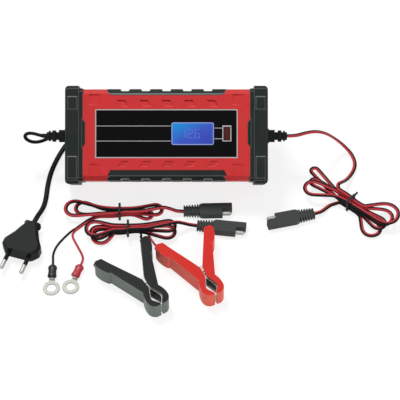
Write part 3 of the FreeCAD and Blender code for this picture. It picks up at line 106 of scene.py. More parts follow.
class Bench:
    """Adds nodes to one shader tree and joins their sockets."""

    def __init__(self, tree: Tree) -> None:
        """Keeps the tree that is worked on."""
        self.tree = tree

    def add(self, kind: str, **settings: object) -> Node:
        """Adds one node.

        Args:
            kind: The node's type, without its ShaderNode prefix.
            settings: Properties of the node, such as operation.

        Returns:
            The new node.
        """
        node = self.tree.nodes.new(f"ShaderNode{kind}")
        for name, value in settings.items():
            setattr(node, name, value)
        return node

    def feed(self, value: Socket | float | tuple[float, ...], target: Socket) -> None:
        """Links a socket to another, or gives it a plain value.

        Args:
            value: The socket or the value that goes in.
            target: The socket that gets it.
        """
        if isinstance(value, Socket):
            self.tree.links.new(value, target)
        else:
            target.default_value = value

    def where(self) -> Socket:
        """The piece's own coordinates, in metres."""
        return self.add("TexCoord").outputs["Object"]

    def axis(self, vector: Socket, name: str) -> Socket:
        """One axis of a vector.

        Args:
            vector: The vector.
            name: X, Y or Z.

        Returns:
            The distance along that axis.
        """
        node = self.add("SeparateXYZ")
        self.feed(vector, node.inputs[0])
        return node.outputs[name]

    def stretched(self, where: Socket, scale: Point) -> Socket:
        """Coordinates scaled along each axis.

        Args:
            where: The coordinates.
            scale: The scale along X, Y and Z.

        Returns:
            The scaled coordinates.
        """
        node = self.add("Mapping")
        self.feed(scale, node.inputs["Scale"])
        self.feed(where, node.inputs["Vector"])
        return node.outputs["Vector"]

    def maths(self, operation: str, *values: Socket | float) -> Socket:
        """A calculation.

        Args:
            operation: What is done, in Blender's word for it.
            values: What goes in, each a socket or a number.

        Returns:
            The result.
        """
        node = self.add("Math", operation=operation)
        for value, socket in zip(values, node.inputs):
            self.feed(value, socket)
        return node.outputs[0]

    def noise(self, where: Socket, scale: Socket | float, detail: float = 2.0) -> Socket:
        """A noise pattern.

        Args:
            where: The coordinates that it reads.
            scale: How many bumps there are in a metre.
            detail: How many finer layers it has.

        Returns:
            The pattern's value from 0 to 1.
        """
        node = self.add("TexNoise")
        self.feed(scale, node.inputs["Scale"])
        self.feed(detail, node.inputs["Detail"])
        self.feed(where, node.inputs["Vector"])
        return node.outputs["Fac"]

    def ranged(self, value: Socket, low: float, high: float, start: float = 0.0, end: float = 1.0) -> Socket:
        """Spreads a value over another range.

        Args:
            value: The value that comes in.
            low: What comes out at the start.
            high: What comes out at the end.
            start: The incoming value at the start.
            end: The incoming value at the end.

        Returns:
            The value in its new range.
        """
        node = self.add("MapRange")
        self.feed(value, node.inputs["Value"])
        for name, number in (("From Min", start), ("From Max", end), ("To Min", low), ("To Max", high)):
            self.feed(number, node.inputs[name])
        return node.outputs["Result"]

    def mixed(self, share: Socket, first: Socket | Colour, second: Socket | Colour) -> Socket:
        """Mixes two colours, each a socket or three numbers.

        Args:
            share: How much of the second colour there is.
            first: The colour at 0.
            second: The colour at 1.

        Returns:
            The mixed colour.
        """
        node = self.add("Mix", data_type="RGBA")
        self.feed(share, node.inputs["Factor"])
        for value, socket in ((first, node.inputs["A"]), (second, node.inputs["B"])):
            self.feed(value if isinstance(value, Socket) else (*value, 1.0), socket)
        return node.outputs["Result"]

    def bump(self, height: Socket, strength: float, depth: float) -> Socket:
        """Turns a height pattern into a normal.

        Args:
            height: The pattern.
            strength: How strongly it shows.
            depth: The pattern's full depth in metres.

        Returns:
            The normal.
        """
        node = self.add("Bump")
        self.feed(strength, node.inputs["Strength"])
        self.feed(depth, node.inputs["Distance"])
        self.feed(height, node.inputs["Height"])
        return node.outputs["Normal"]

    def effect(self, group: Tree, where: Socket, **values: float) -> Node:
        """Places a shared effect.

        Args:
            group: The effect's node group.
            where: The coordinates that it reads.
            values: The effect's own settings.

        Returns:
            The group's node.
        """
        node = self.add("Group", node_tree=group)
        self.feed(where, node.inputs["Vector"])
        for name, value in values.items():
            self.feed(value, node.inputs[name])
        return node


def new_group(label: str, inputs: dict[str, float], outputs: list[str]) -> tuple[Bench, Node, Node]:
    """Starts a node group with number sockets.

    Args:
        label: The group's name.
        inputs: The names and first values of its inputs, after a Vector input.
        outputs: The names of its outputs.

    Returns:
        A bench on the group, and the group's input and output nodes.
    """
    group = bpy.data.node_groups.new(label, "ShaderNodeTree")
    group.interface.new_socket("Vector", in_out="INPUT", socket_type="NodeSocketVector")
    for name, value in inputs.items():
        group.interface.new_socket(name, in_out="INPUT", socket_type="NodeSocketFloat").default_value = value
    for name in outputs:
        group.interface.new_socket(name, in_out="OUTPUT", socket_type="NodeSocketFloat")
    return Bench(group), group.nodes.new("NodeGroupInput"), group.nodes.new("NodeGroupOutput")


def make_grain_group() -> Tree:
    """The spark-eroded texture that a mould leaves: fine and coarse grain, and a slow mottle.

    Returns:
        The group, which puts out a height and a mottle.
    """
    bench, source, target = new_group("mould_grain", {"Scale": 2500.0}, ["Height", "Mottle"])
    where, scale = source.outputs["Vector"], source.outputs["Scale"]
    shares = {"fine": 1.0, "coarse": 0.31, "mottle": 0.02}
    layers = {
        name: bench.noise(where, bench.maths("MULTIPLY", scale, share), detail=3.0)
        for name, share in shares.items()
    }
    mean = bench.maths("MULTIPLY", bench.maths("ADD", layers["fine"], layers["coarse"]), 0.5)
    bench.feed(mean, target.inputs["Height"])
    bench.feed(layers["mottle"], target.inputs["Mottle"])
    return bench.tree


def make_dust_group() -> Tree:
    """Where dust and rubbing have dulled a surface a little, mostly on what faces up.

    Returns:
        The group, which puts out a mask.
    """
    bench, source, target = new_group("handling_dust", {"Amount": 0.3}, ["Mask"])
    patches = bench.noise(source.outputs["Vector"], scale=38.0, detail=5.0)
    soft = bench.ranged(patches, low=0.0, high=1.0, start=0.42, end=0.78)
    facing = bench.axis(bench.add("NewGeometry").outputs["Normal"], "Z")
    upward = bench.ranged(facing, low=0.25, high=1.0, start=-0.2, end=0.9)
    mask = bench.maths("MULTIPLY", bench.maths("MULTIPLY", soft, upward), source.outputs["Amount"])
    bench.feed(mask, target.inputs["Mask"])
    return bench.tree


GRAIN = make_grain_group()
DUST = make_dust_group()


def new_material(label: str) -> tuple[Material, Bench, Node]:
    """Starts a material.

    Args:
        label: The material's name.

    Returns:
        The material, a bench on its tree, and its shader.
    """
    material = bpy.data.materials.new(label)
    material.use_nodes = True
    shader = next(node for node in material.node_tree.nodes if node.type == "BSDF_PRINCIPLED")
    return material, Bench(material.node_tree), shader


def tinted(colour: Colour, share: float, white: float = 0.0) -> Colour:
    """A colour times a share, with a little white added, and no channel over 1."""
    return tuple(min(1.0, share * channel + white) for channel in colour)


@dataclass(frozen=True)
class Moulding:
    """A moulded plastic or rubber. On its upright sides it can have a paler colour, a painted sheen in place
    of the light that they catch.
    """

    label: str
    colour: Colour
    roughness: float
    grain: float = 2600.0
    relief: float = 0.25
    grain_depth: float = 0.00012
    mottle: float = 0.12
    gloss_change: float = 0.05
    dust: float = 0.12
    specular: float = 0.2
    painted_side_sheen: Colour | None = None

    def material(self) -> Material:
        """Builds the finish: its grain, its slight unevenness of colour, its dust and the painted sheen on
        its upright sides.

        Returns:
            The material.
        """
        material, bench, shader = new_material(self.label)
        where = bench.where()
        grain = bench.effect(GRAIN, where, Scale=self.grain)
        dust = bench.effect(DUST, where, Amount=self.dust)
        mottle = grain.outputs["Mottle"]
        darker, lighter = tinted(self.colour, 1 - self.mottle), tinted(self.colour, 1 + self.mottle)
        base = bench.mixed(mottle, darker, lighter)
        # Painted sheen: sides that stand upright get a paler colour, in place of the light that they catch
        # from the floor.
        if self.painted_side_sheen:
            level = bench.maths("ABSOLUTE", bench.axis(bench.add("TexCoord").outputs["Normal"], "Z"))
            side_sheen_share = bench.ranged(level, low=1.0, high=0.0, start=0.1, end=0.6)
            base = bench.mixed(side_sheen_share, base, self.painted_side_sheen)
        dusty = bench.mixed(dust.outputs["Mask"], base, tinted(self.colour, 0.75, white=0.06))
        bench.feed(dusty, shader.inputs["Base Color"])
        low, high = self.roughness - self.gloss_change, self.roughness + self.gloss_change
        bench.feed(bench.ranged(mottle, low, high), shader.inputs["Roughness"])
        shader.inputs["Specular IOR Level"].default_value = self.specular
        grained = bench.bump(grain.outputs["Height"], self.relief, self.grain_depth)
        bench.feed(grained, shader.inputs["Normal"])
        return material


@dataclass(frozen=True)
class Plated:
    """A bare or plated metal with drawn streaks."""

    label: str
    colour: Colour
    roughness: float
    metallic: float = 1.0
    streaks: float = 900.0
    streak_stretch: Point = (1.0, 0.2, 1.0)
    relief: float = 0.1
    streak_depth: float = 0.00005

    def material(self) -> Material:
        """Builds the finish: streaks in its roughness, and a slow change of tone.

        Returns:
            The material.
        """
        material, bench, shader = new_material(self.label)
        where = bench.where()
        streaks = bench.noise(bench.stretched(where, self.streak_stretch), self.streaks, detail=4.0)
        tone = bench.noise(where, scale=60.0, detail=3.0)
        bench.feed(bench.mixed(tone, tinted(self.colour, 0.8), self.colour), shader.inputs["Base Color"])
        rough = bench.ranged(streaks, low=self.roughness - 0.08, high=self.roughness + 0.12)
        bench.feed(rough, shader.inputs["Roughness"])
        shader.inputs["Metallic"].default_value = self.metallic
        bench.feed(bench.bump(streaks, self.relief, self.streak_depth), shader.inputs["Normal"])
        return material


@dataclass(frozen=True)
class CordSkin:
    """The extruded jacket of a cord, which its UV map follows: U round it and V along it, in metres."""

    label: str
    colour: Colour
    roughness: float = 0.4
    specular: float = 0.1
    dust: float = 0.07
    line_stretch: Point = (9.0, 60.0, 1.0)
    relief: float = 0.12
    line_depth: float = 0.0001

    def material(self) -> Material:
        """Builds the finish: faint drawn lines along the cord and a slow change of gloss.

        Returns:
            The material.
        """
        material, bench, shader = new_material(self.label)
        along = bench.add("UVMap", uv_map="cord").outputs["UV"]
        lines = bench.noise(bench.stretched(along, self.line_stretch), scale=3.0, detail=3.0)
        where = bench.where()
        slow = bench.noise(where, scale=70.0)
        dust = bench.effect(DUST, where, Amount=self.dust)
        jacket = bench.mixed(slow, self.colour, tinted(self.colour, 1.25, white=0.004))
        dusty = bench.mixed(dust.outputs["Mask"], jacket, tinted(self.colour, 0.8, white=0.04))
        bench.feed(dusty, shader.inputs["Base Color"])
        rough = bench.ranged(slow, low=self.roughness - 0.06, high=self.roughness + 0.08)
        bench.feed(rough, shader.inputs["Roughness"])
        shader.inputs["Specular IOR Level"].default_value = self.specular
        bench.feed(bench.bump(lines, self.relief, self.line_depth), shader.inputs["Normal"])
        return material


@dataclass(frozen=True)
class Circuit:
    """A printed board's lacquer with its copper tracks."""

    label: str
    colour: Colour
    track_colour: Colour = (0.2, 0.32, 0.12)
    track_scale: float = 190.0
    track_width: float = 0.03

    def material(self) -> Material:
        """Builds the finish: tracks in a brick pattern under the lacquer.

        Returns:
            The material.
        """
        material, bench, shader = new_material(self.label)
        where = bench.where()
        tracks = bench.add("TexBrick")
        bench.feed(self.track_scale, tracks.inputs["Scale"])
        bench.feed(self.track_width, tracks.inputs["Mortar Size"])
        colours = {"Color1": self.colour, "Color2": tinted(self.colour, 0.8), "Mortar": self.track_colour}
        for name, colour in colours.items():
            bench.feed((*colour, 1.0), tracks.inputs[name])
        bench.feed(where, tracks.inputs["Vector"])
        bench.feed(tracks.outputs["Color"], shader.inputs["Base Color"])
        rough = bench.ranged(bench.noise(where, scale=400.0), low=0.25, high=0.4)
        bench.feed(rough, shader.inputs["Roughness"])
        return material


@dataclass(frozen=True)
class LitDisplay:
    """The display's backlight: light blue at its upper left, and deeper towards its lower right.

    The bands say how far down the slant each of the three shades lies.
    """

    label: str
    low: Vector
    high: Vector
    shades: tuple[Colour, Colour, Colour] = ((0.008, 0.24, 0.6), (0.04, 0.085, 0.47), (0.032, 0.038, 0.33))
    bands: tuple[float, float, float] = (0.2, 0.65, 1.2)
    unevenness: float = 0.3
    strength: float = 0.3
    roughness: float = 0.3
    specular: float = 0.12

    def material(self) -> Material:
        """Builds the finish: a wash of light across the pane under a clear front.

        Returns:
            The material.
        """
        material, bench, shader = new_material(self.label)
        where = bench.where()
        across = bench.ranged(bench.axis(where, "X"), low=0.0, high=0.5, start=self.low.x, end=self.high.x)
        down = bench.ranged(bench.axis(where, "Z"), low=0.5, high=0.0, start=self.low.z, end=self.high.z)
        slant = bench.maths("ADD", across, down)
        cloud = bench.maths("MULTIPLY_ADD", bench.noise(where, scale=70.0), self.unevenness, slant)
        near, middle, far = self.shades
        start, half_way, end = self.bands
        first = bench.ranged(cloud, low=0.0, high=1.0, start=start, end=half_way)
        second = bench.ranged(cloud, low=0.0, high=1.0, start=half_way, end=end)
        colour = bench.mixed(second, bench.mixed(first, near, middle), far)
        bench.feed(colour, shader.inputs["Base Color"])
        bench.feed(colour, shader.inputs["Emission Color"])
        shader.inputs["Emission Strength"].default_value = self.strength
        shader.inputs["Roughness"].default_value = self.roughness
        shader.inputs["Specular IOR Level"].default_value = self.specular
        return material


@dataclass(frozen=True)
class Glow:
    """A plain lit mark on the display, with a slight unevenness."""

    label: str
    colour: Colour
    strength: float
    roughness: float = 0.3

    def material(self) -> Material:
        """Builds the finish.

        Returns:
            The material.
        """
        material, bench, shader = new_material(self.label)
        patches = bench.noise(bench.where(), scale=300.0)
        colour = bench.mixed(patches, tinted(self.colour, 0.85), self.colour)
        bench.feed(colour, shader.inputs["Base Color"])
        bench.feed(colour, shader.inputs["Emission Color"])
        shader.inputs["Emission Strength"].default_value = self.strength
        shader.inputs["Roughness"].default_value = self.roughness
        return material


class Finishes:
    """Every material of the charger and its leads, each made once."""

    def __init__(self) -> None:
        """Makes the materials."""
        case_red, clamp_red, clamp_black = (0.7, 0.036, 0.038), (0.76, 0.03, 0.022), (0.009, 0.013, 0.012)
        self.case = Moulding("case_red", case_red, 0.4, relief=0.2, mottle=0.06).material()
        # Painted highlight and shade on the case: a paler red on its rounded edges and the lower walls of the
        # dents, and a deeper red on the walls above the dents and the fascia.
        self.case_painted_highlight = Moulding("case_painted_highlight", (0.8, 0.09, 0.09), 0.35, relief=0.1, specular=0.4).material()
        self.case_shade = Moulding(
            "case_shade", (0.3, 0.01, 0.014), 0.45, relief=0.2, specular=0.1
        ).material()
        self.rubber = Moulding(
            "bumper_rubber", (0.012, 0.018, 0.017), 0.5, grain=1800, relief=0.35, specular=0.15
        ).material()
        # A paler rubber for rounded edges and the upper walls of the pads: a painted highlight.
        self.rubber_painted_highlight = Moulding(
            "rubber_painted_highlight", (0.15, 0.17, 0.16), 0.4, grain=1800, relief=0.2, specular=0.3
        ).material()
        self.seal = Moulding("seal_rubber", (0.012, 0.012, 0.012), 0.7).material()
        self.fascia = Moulding(
            "fascia_black", (0.0025, 0.0025, 0.003), 0.3, relief=0.03, dust=0.02, specular=0.05
        ).material()
        self.trim = Plated("fascia_silver", (0.5, 0.5, 0.52), 0.35, metallic=0.4).material()
        self.key = Moulding("key_brown", (0.075, 0.006, 0.007), 0.3).material()
        self.display_frame = Glow("display_frame", (0.3, 0.38, 0.76), strength=0.1).material()
        self.display_mark = Glow("display_mark", (0.1, 0.15, 0.66), strength=0.2).material()
        self.component = Moulding("component_black", (0.02, 0.02, 0.022), 0.5).material()
        self.board = Circuit("board_lacquer", (0.015, 0.12, 0.04)).material()
        self.copper = Plated("winding_copper", (0.72, 0.32, 0.16), 0.35).material()
        self.aluminium = Plated("heat_sink_aluminium", (0.75, 0.76, 0.78), 0.4).material()
        self.steel = Plated("jaw_steel", (0.48, 0.47, 0.43), 0.42, metallic=0.6).material()
        self.nickel = Plated("pin_nickel", (0.5, 0.49, 0.46), 0.38, metallic=0.7).material()
        self.tin = Plated("terminal_tin", (0.6, 0.61, 0.55), 0.55, metallic=0.25).material()
        self.tin_edge = Plated("terminal_edge", (0.3, 0.305, 0.27), 0.5, metallic=0.25).material()
        self.spring = Plated("spring_cream", (0.62, 0.58, 0.44), 0.4, metallic=0.3).material()
        self.plug = Moulding(
            "plug_black", (0.008, 0.011, 0.01), 0.42, grain=2200, dust=0.08, specular=0.1
        ).material()
        self.coupling = Moulding(
            "coupling_black", (0.036, 0.044, 0.04), 0.45, grain=2200, specular=0.25
        ).material()
        # The clamps' covers carry a painted sheen: a paler colour on their upright sides.
        self.clamp_black = Moulding(
            "clamp_black", clamp_black, 0.36, dust=0.08, specular=0.1, painted_side_sheen=(0.2, 0.235, 0.21)
        ).material()
        # A paler colour for the black covers' rounded edges: a painted highlight.
        self.clamp_black_painted_highlight = Moulding("clamp_black_painted_highlight", (0.1, 0.12, 0.11), 0.3, relief=0.1).material()
        self.clamp_red = Moulding(
            "clamp_red", clamp_red, 0.4, mottle=0.06, specular=0.1, painted_side_sheen=(1.0, 0.17, 0.12)
        ).material()
        # The same painted highlight, in a paler red, on the red covers' rounded edges.
        self.clamp_red_painted_highlight = Moulding("clamp_red_painted_highlight", (0.95, 0.2, 0.15), 0.3, relief=0.1).material()
        self.cord_black = CordSkin("jacket_black", (0.005, 0.005, 0.006)).material()
        self.cord_red = CordSkin("jacket_red", (0.52, 0.045, 0.058)).material()
        self.sleeve_black = Moulding("sleeve_black", (0.014, 0.014, 0.016), 0.35, specular=0.3).material()
        self.sleeve_red = Moulding(
            "sleeve_red", (0.52, 0.03, 0.04), 0.3, mottle=0.1, specular=0.4
        ).material()
        self.tie = Moulding("tie_black", (0.014, 0.014, 0.014), 0.5).material()


# Modelling helpers

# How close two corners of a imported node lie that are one, and how level two faces are that are one
WELD = 2e-6
LEVEL_ANGLE = math.radians(1.5)
# The least angle of an edge that is rounded, and the greatest of one that is shaded smooth
ROUNDED_ANGLE = math.radians(34.0)
SMOOTH_ANGLE = math.radians(32.0)
SOFT_SMOOTH_ANGLE = math.radians(50.0)


def deselect() -> None:
    """Clears the selection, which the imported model's arrival leaves full."""
    if bpy.context.object and bpy.context.object.mode != "OBJECT":
        bpy.ops.object.mode_set(mode="OBJECT")
    bpy.ops.object.select_all(action="DESELECT")


def pick(item: Item) -> None:
    """Makes one object the only selected and the active one.

    Args:
        item: The object.
    """
    deselect()
    item.select_set(True)
    bpy.context.view_layer.objects.active = item


@contextmanager
def editing(item: Item) -> Iterator[None]:
    """Edit mode on one object, and object mode again after it.

    Args:
        item: The object.

    Returns:
        The context, at whose end the object is back in object mode.
    """
    pick(item)
    bpy.ops.object.mode_set(mode="EDIT")
    yield
    bpy.ops.object.mode_set(mode="OBJECT")


def select_edges(item: Item, chosen: Callable[[bpy.types.MeshEdge], bool]) -> None:
    """Selects the edges of an object that pass a test, and nothing else.

    Args:
        item: The object.
        chosen: The test.
    """
    with editing(item):
        bpy.ops.mesh.select_mode(type="EDGE")
        bpy.ops.mesh.select_all(action="DESELECT")
    for edge in item.data.edges:
        edge.select = chosen(edge)


def use_modifier(item: Item, kind: str, **settings: object) -> None:
    """Adds a modifier and applies it.

    Args:
        item: The object.
        kind: The modifier's type.
        settings: Its properties.
    """
    pick(item)
    modifier = item.modifiers.new(kind.lower(), kind)
    for name, value in settings.items():
        setattr(modifier, name, value)
    bpy.ops.object.modifier_apply(modifier=modifier.name)


def thicken(item: Item, thickness: float) -> None:
    """Gives a flat piece a thickness in millimetres, outwards."""
    use_modifier(item, "SOLIDIFY", thickness=thickness * MM, offset=1.0)


def close_up(item: Item) -> None:
    """Turns the faces of a closed piece outwards, and shades its gentle bends smooth.

    Args:
        item: The piece.
    """
    with editing(item):
        bpy.ops.mesh.select_all(action="SELECT")
        bpy.ops.mesh.normals_make_consistent(inside=False)
    bpy.ops.object.shade_smooth_by_angle(angle=SOFT_SMOOTH_ANGLE)


def node_body(node: str) -> str:
    """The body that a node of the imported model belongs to."""
    bodies = frame["record"]["behaviour"]["bodies"]
    return next(body for body, members in bodies.items() if node in members)


def paint(item: Item, *materials: Material) -> None:
    """Gives an object its materials, in order, and keeps which face has which.

    Args:
        item: The object.
        materials: Its materials. A face with a number past the last one gets the last one.
    """
    slots = [face.material_index for face in item.data.polygons]
    item.data.materials.clear()
    for material in materials:
        item.data.materials.append(material)
    item.data.polygons.foreach_set("material_index", [min(slot, len(materials) - 1) for slot in slots])


def add_material(item: Item, material: Material) -> int:
    """Gives an object one more material, and says which number it has."""
    item.data.materials.append(material)
    return len(item.data.materials) - 1


def dress(node: str, material: Material) -> Item:
    """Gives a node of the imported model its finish, and keeps its shape.

    Args:
        node: The node's name.
        material: Its finish.

    Returns:
        The node's object.
    """
    item = frame["nodes"][node]
    paint(item, material)
    log.info("%s keeps its shape", node)
    return item


def stand_for(item: Item, *nodes: str) -> Item:
    """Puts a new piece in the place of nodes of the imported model.

    Args:
        item: The new piece.
        nodes: The nodes that it stands for, all of one body.

    Returns:
        The new piece.
    """
    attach(item, node_body(nodes[0]))
    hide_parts(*nodes)
    log.info("%s stands for %s", item.name, ", ".join(nodes))
    return item


def merged_copy(node: str, whole: bool = True, ending: str = "moulded") -> Item:
    """A copy of a node with its loose triangles joined at their corners.

    Args:
        node: The node's name.
        whole: Whether flat faces are also made whole.
        ending: What the copy's name has after the node's.

    Returns:
        The copy, with no parent.
    """
    item = bpy.data.objects.new(f"{node}_{ending}", frame["nodes"][node].data.copy())
    bpy.context.scene.collection.objects.link(item)
    with editing(item):
        bpy.ops.mesh.select_all(action="SELECT")
        bpy.ops.mesh.customdata_custom_splitnormals_clear()
        bpy.ops.mesh.remove_doubles(threshold=WELD)
        if whole:
            bpy.ops.mesh.dissolve_limited(angle_limit=LEVEL_ANGLE)
    return item


def round_off(
    item: Item, material: Material, width: float, segments: int = 2, edge: Material | None = None
) -> Item:
    """Rounds an object's edges and paints it.

    Args:
        item: The object.
        material: Its finish.
        width: The rounding in millimetres.
        segments: The faces across the rounding.
        edge: The material of the rounded edges, where it is another one, such as a paler colour painted on as
            a highlight.

    Returns:
        The same object.
    """
    paint(item, material, *([edge] if edge else []))
    use_modifier(
        item,
        "BEVEL",
        width=width * MM,
        segments=segments,
        limit_method="ANGLE",
        angle_limit=ROUNDED_ANGLE,
        use_clamp_overlap=True,
        miter_outer="MITER_ARC",
        material=1 if edge else -1,
    )
    pick(item)
    bpy.ops.object.shade_smooth_by_angle(angle=SMOOTH_ANGLE)
    use_modifier(item, "WEIGHTED_NORMAL", keep_sharp=True, weight=80)
    return item


def rounded_node(
    node: str, material: Material, width: float, segments: int = 2, edge: Material | None = None
) -> Item:
    """A node with its edges rounded, in the node's place.

    Args:
        node: The node's name.
        material: Its finish.
        width: The rounding in millimetres.
        segments: The faces across the rounding.
        edge: The material of the rounded edges, where it is another one, such as a paler colour painted on as
            a highlight.

    Returns:
        The new piece.
    """
    return stand_for(round_off(merged_copy(node), material, width, segments, edge), node)


def joined(*items: Item) -> Item:
    """Joins objects into the first one.

    Args:
        items: The objects.

    Returns:
        The first one.
    """
    pick(items[0])
    for item in items:
        item.select_set(True)
    bpy.ops.object.join()
    return items[0]


@dataclass(frozen=True)
class CasePlane:
    """A plane that leans as the case does, with a point of it as its origin."""

    origin: Vector
    lean: float = math.radians(37.0)

    @property
    def outwards(self) -> Vector:
        """The way out of the case's face."""
        return Vector((0.0, -math.sin(self.lean), math.cos(self.lean)))

    @property
    def upwards(self) -> Vector:
        """The way up the case's face."""
        return Vector((0.0, math.cos(self.lean), math.sin(self.lean)))

    def at(self, across: float, up: float, out: float) -> Vector:
        """A point in the scene, from distances in millimetres across, up and out of the face."""
        return self.origin + (Vector((across, 0, 0)) + self.upwards * up + self.outwards * out) * MM

    def local(self, spot: Vector) -> Vector:
        """How far a point lies across, up and out of the face, in millimetres."""
        away = (spot - self.origin) / MM
        return Vector((away.x, away.dot(self.upwards), away.dot(self.outwards)))

    def panel(self, label: str, centre: Point, size: tuple[float, float], turn: float = 0.0) -> Item:
        """A flat rectangle on the plane.

        Args:
            label: Its name.
            centre: Its centre across, up and out of the face.
            size: Its length and width.
            turn: Its turn within the plane, in degrees.

        Returns:
            The rectangle, its scale applied.
        """
        deselect()
        bpy.ops.mesh.primitive_plane_add(size=1.0, location=(0.0, 0.0, 0.0))
        item = bpy.context.object
        item.name = label
        spin = Matrix.Rotation(math.radians(turn), 4, "Z")
        scale = Matrix.Diagonal((size[0] * MM, size[1] * MM, 1.0, 1.0))
        lean = Matrix.Rotation(self.lean, 4, "X")
        item.data.transform(Matrix.Translation(self.at(*centre)) @ lean @ spin @ scale)
        return item


# Cords and the loose pieces that they lead to

MAINS_HEIGHT = 3.0
LEAD_WIDTH = 3.8
LEAD_HEIGHT = 1.9
WIRE_DIAMETER = 2.1
WIRE_OFFSET = 1.12
GLAND_TIP = (111.5, 0.61, 42.85)
# The heights of the axes of the loose pieces that cords enter
PLUG_AXIS = 6.85
COUPLING_AXIS = 3.8
SLEEVE_AXIS = 3.2
# How high a lead that lies down is above the floor
CLEARANCE = 0.15


def placed(place: Place, x: float, y: float, z: float) -> Point:
    """A point of a loose piece's own frame in the charger's frame.

    Args:
        place: The piece's place.
        x: How far along the piece the point lies.
        y: How far to its left.
        z: Its height.

    Returns:
        The point.
    """
    turn = math.radians(place[2])
    return (
        place[0] + x * math.cos(turn) - y * math.sin(turn),
        place[1] + x * math.sin(turn) + y * math.cos(turn),
        z,
    )


def entry_points(place: Place, height: float, *backs: float) -> list[Point]:
    """Points straight behind a loose piece, such as a plug, that a cord enters.

    Args:
        place: The piece's place.
        height: The height of its axis.
        backs: How far behind the piece's rear end each point lies.

    Returns:
        The points, in the same order.
    """
    return [placed(place, -back, 0.0, height) for back in backs]


@dataclass(frozen=True)
class Hank:
    """A lead folded into loops that all pass through a tied waist.

    Its own frame has X along the hank. A loop is how far it reaches from the waist, its slant in
    degrees and the radius of its end. The lead comes in on top, goes down a level before each loop
    beyond the waist, and leaves at floor level. Entry and leave are how far from the middle it comes
    in and goes out, the slope is where it goes down, and the flare is how far beyond the slope the
    sides of a loop begin.
    """

    place: Place
    loops: tuple[tuple[float, float, float], ...]
    leave: float
    height: float = LEAD_HEIGHT
    spacing: float = 5.2
    slope_half: float = 8.0
    entry: float = 12.4
    hand: int = -1
    base: float = 1.3
    gap: float = 0.6
    flare: float = 5.0
    slope_share: float = 0.6
    bend_points: int = 4
    bend_lead: float = 2.2

    @property
    def pitch(self) -> float:
        """How far one level of loops lies above the next."""
        return self.height + self.gap

    def level(self, number: int) -> float:
        """The height of a level's centreline."""
        return self.base + self.height / 2 + number * self.pitch

    @property
    def top(self) -> float:
        """The height at which the lead comes in."""
        return self.level(len(self.loops) // 2 + 1)

    def spot(self, x: float, y: float, z: float) -> Point:
        """A point of the hank's own frame in the charger's frame."""
        return placed(self.place, x, y * self.hand, z)

    def way_in(self, before: float) -> Point:
        """A point in line with the lead's way in, some distance before it."""
        return self.spot(-self.entry - before, -self.spacing / 2, self.top)

    def way_out(self, beyond: float) -> Point:
        """A point in line with the lead's way out at floor level, some distance beyond it."""
        side = -1 if len(self.loops) % 2 else 1
        return self.spot(side * (self.leave + beyond), -side * self.spacing / 2, self.level(0))

    def slope(self, z: float) -> list[Point]:
        """The two points of the waist between which the lead goes down by a level."""
        x, y = self.slope_half * self.slope_share, -self.spacing / 2
        return [self.spot(-x, y, z), self.spot(x, y, z - self.pitch)]

    def loop(self, sign: int, length: float, slant: float, radius: float, z: float) -> list[Point]:
        """The route's points round one loop.

        Args:
            sign: 1 beyond the waist, -1 before it.
            length: How far the loop reaches from the waist.
            slant: Its slant in degrees.
            radius: The radius of its end.
            z: Its height.

        Returns:
            Its points, from one bend beside the waist to the other.
        """
        turn = math.radians(slant) * self.hand
        middle = ((length - radius) * math.cos(turn), (length - radius) * math.sin(turn))
        corner, half = self.slope_half + self.flare, self.spacing / 2
        headings, runs = [], []
        for side in (-1, 1):
            across, up = middle[0] - corner, middle[1] - side * half
            away = math.hypot(across, up)
            headings.append(math.atan2(up, across) + side * math.asin(radius / away))
            runs.append(math.sqrt(away**2 - radius**2))
        first, last = headings[0] - math.pi / 2, headings[1] + math.pi / 2
        step = (last - first) / self.bend_points
        reach = radius / math.cos(step / 2)
        before, after = (run - self.bend_lead * radius * math.tan(step / 2) for run in runs)
        own = [(corner, -half)]
        own.append((corner + before * math.cos(headings[0]), -half + before * math.sin(headings[0])))
        for number in range(self.bend_points):
            bend = first + (number + 0.5) * step
            own.append((middle[0] + reach * math.cos(bend), middle[1] + reach * math.sin(bend)))
        own.append((corner + after * math.cos(headings[1]), half + after * math.sin(headings[1])))
        own.append((corner, half))
        return [self.spot(sign * x, sign * y, z) for x, y in own]

    def points(self) -> list[Point]:
        """The whole route through the hank, from where the lead comes in on top.

        Returns:
            Its points.
        """
        z = self.top
        route = [self.way_in(0.0)]
        for number, (length, slant, radius) in enumerate(self.loops):
            beyond = number % 2 == 0
            if beyond:
                route += self.slope(z)
                z -= self.pitch
            route += self.loop(1 if beyond else -1, length, slant, radius, z)
        if len(self.loops) % 2 == 0:
            route += self.slope(z)
        return [*route, self.way_out(0.0)]


def centreline(points: list[Point]) -> list[Vector]:
    """The smooth line that a cord follows, from the points of its route.

    Args:
        points: The control points, in millimetres.

    Returns:
        Points close together on the line, in metres.
    """
    curve = bpy.data.curves.new("route", "CURVE")
    curve.dimensions = "3D"
    spline = curve.splines.new("NURBS")
    spline.points.add(len(points) - 1)
    for control, point in zip(spline.points, points):
        control.co = (*(Vector(point) * MM), 1.0)
    spline.order_u = 3
    spline.use_endpoint_u = True
    spline.resolution_u = 7
    holder = bpy.data.objects.new("route", curve)
    bpy.context.scene.collection.objects.link(holder)
    bpy.context.view_layer.update()
    shape = bpy.data.meshes.new_from_object(holder)
    line = [vertex.co.copy() for vertex in shape.vertices]
    bpy.data.objects.remove(holder)
    bpy.data.curves.remove(curve)
    bpy.data.meshes.remove(shape)
    return line


def line_length(line: list[Vector]) -> float:
    """The length of a line of points."""
    return sum((b - a).length for a, b in zip(line, line[1:]))


def arc(radius: float, start: float, end: float, steps: int) -> list[tuple[float, float]]:
    """The points of an arc from one angle in degrees to another."""
    turns = [math.radians(start + (end - start) * k / steps) for k in range(steps + 1)]
    return [(radius * math.cos(a), radius * math.sin(a)) for a in turns]


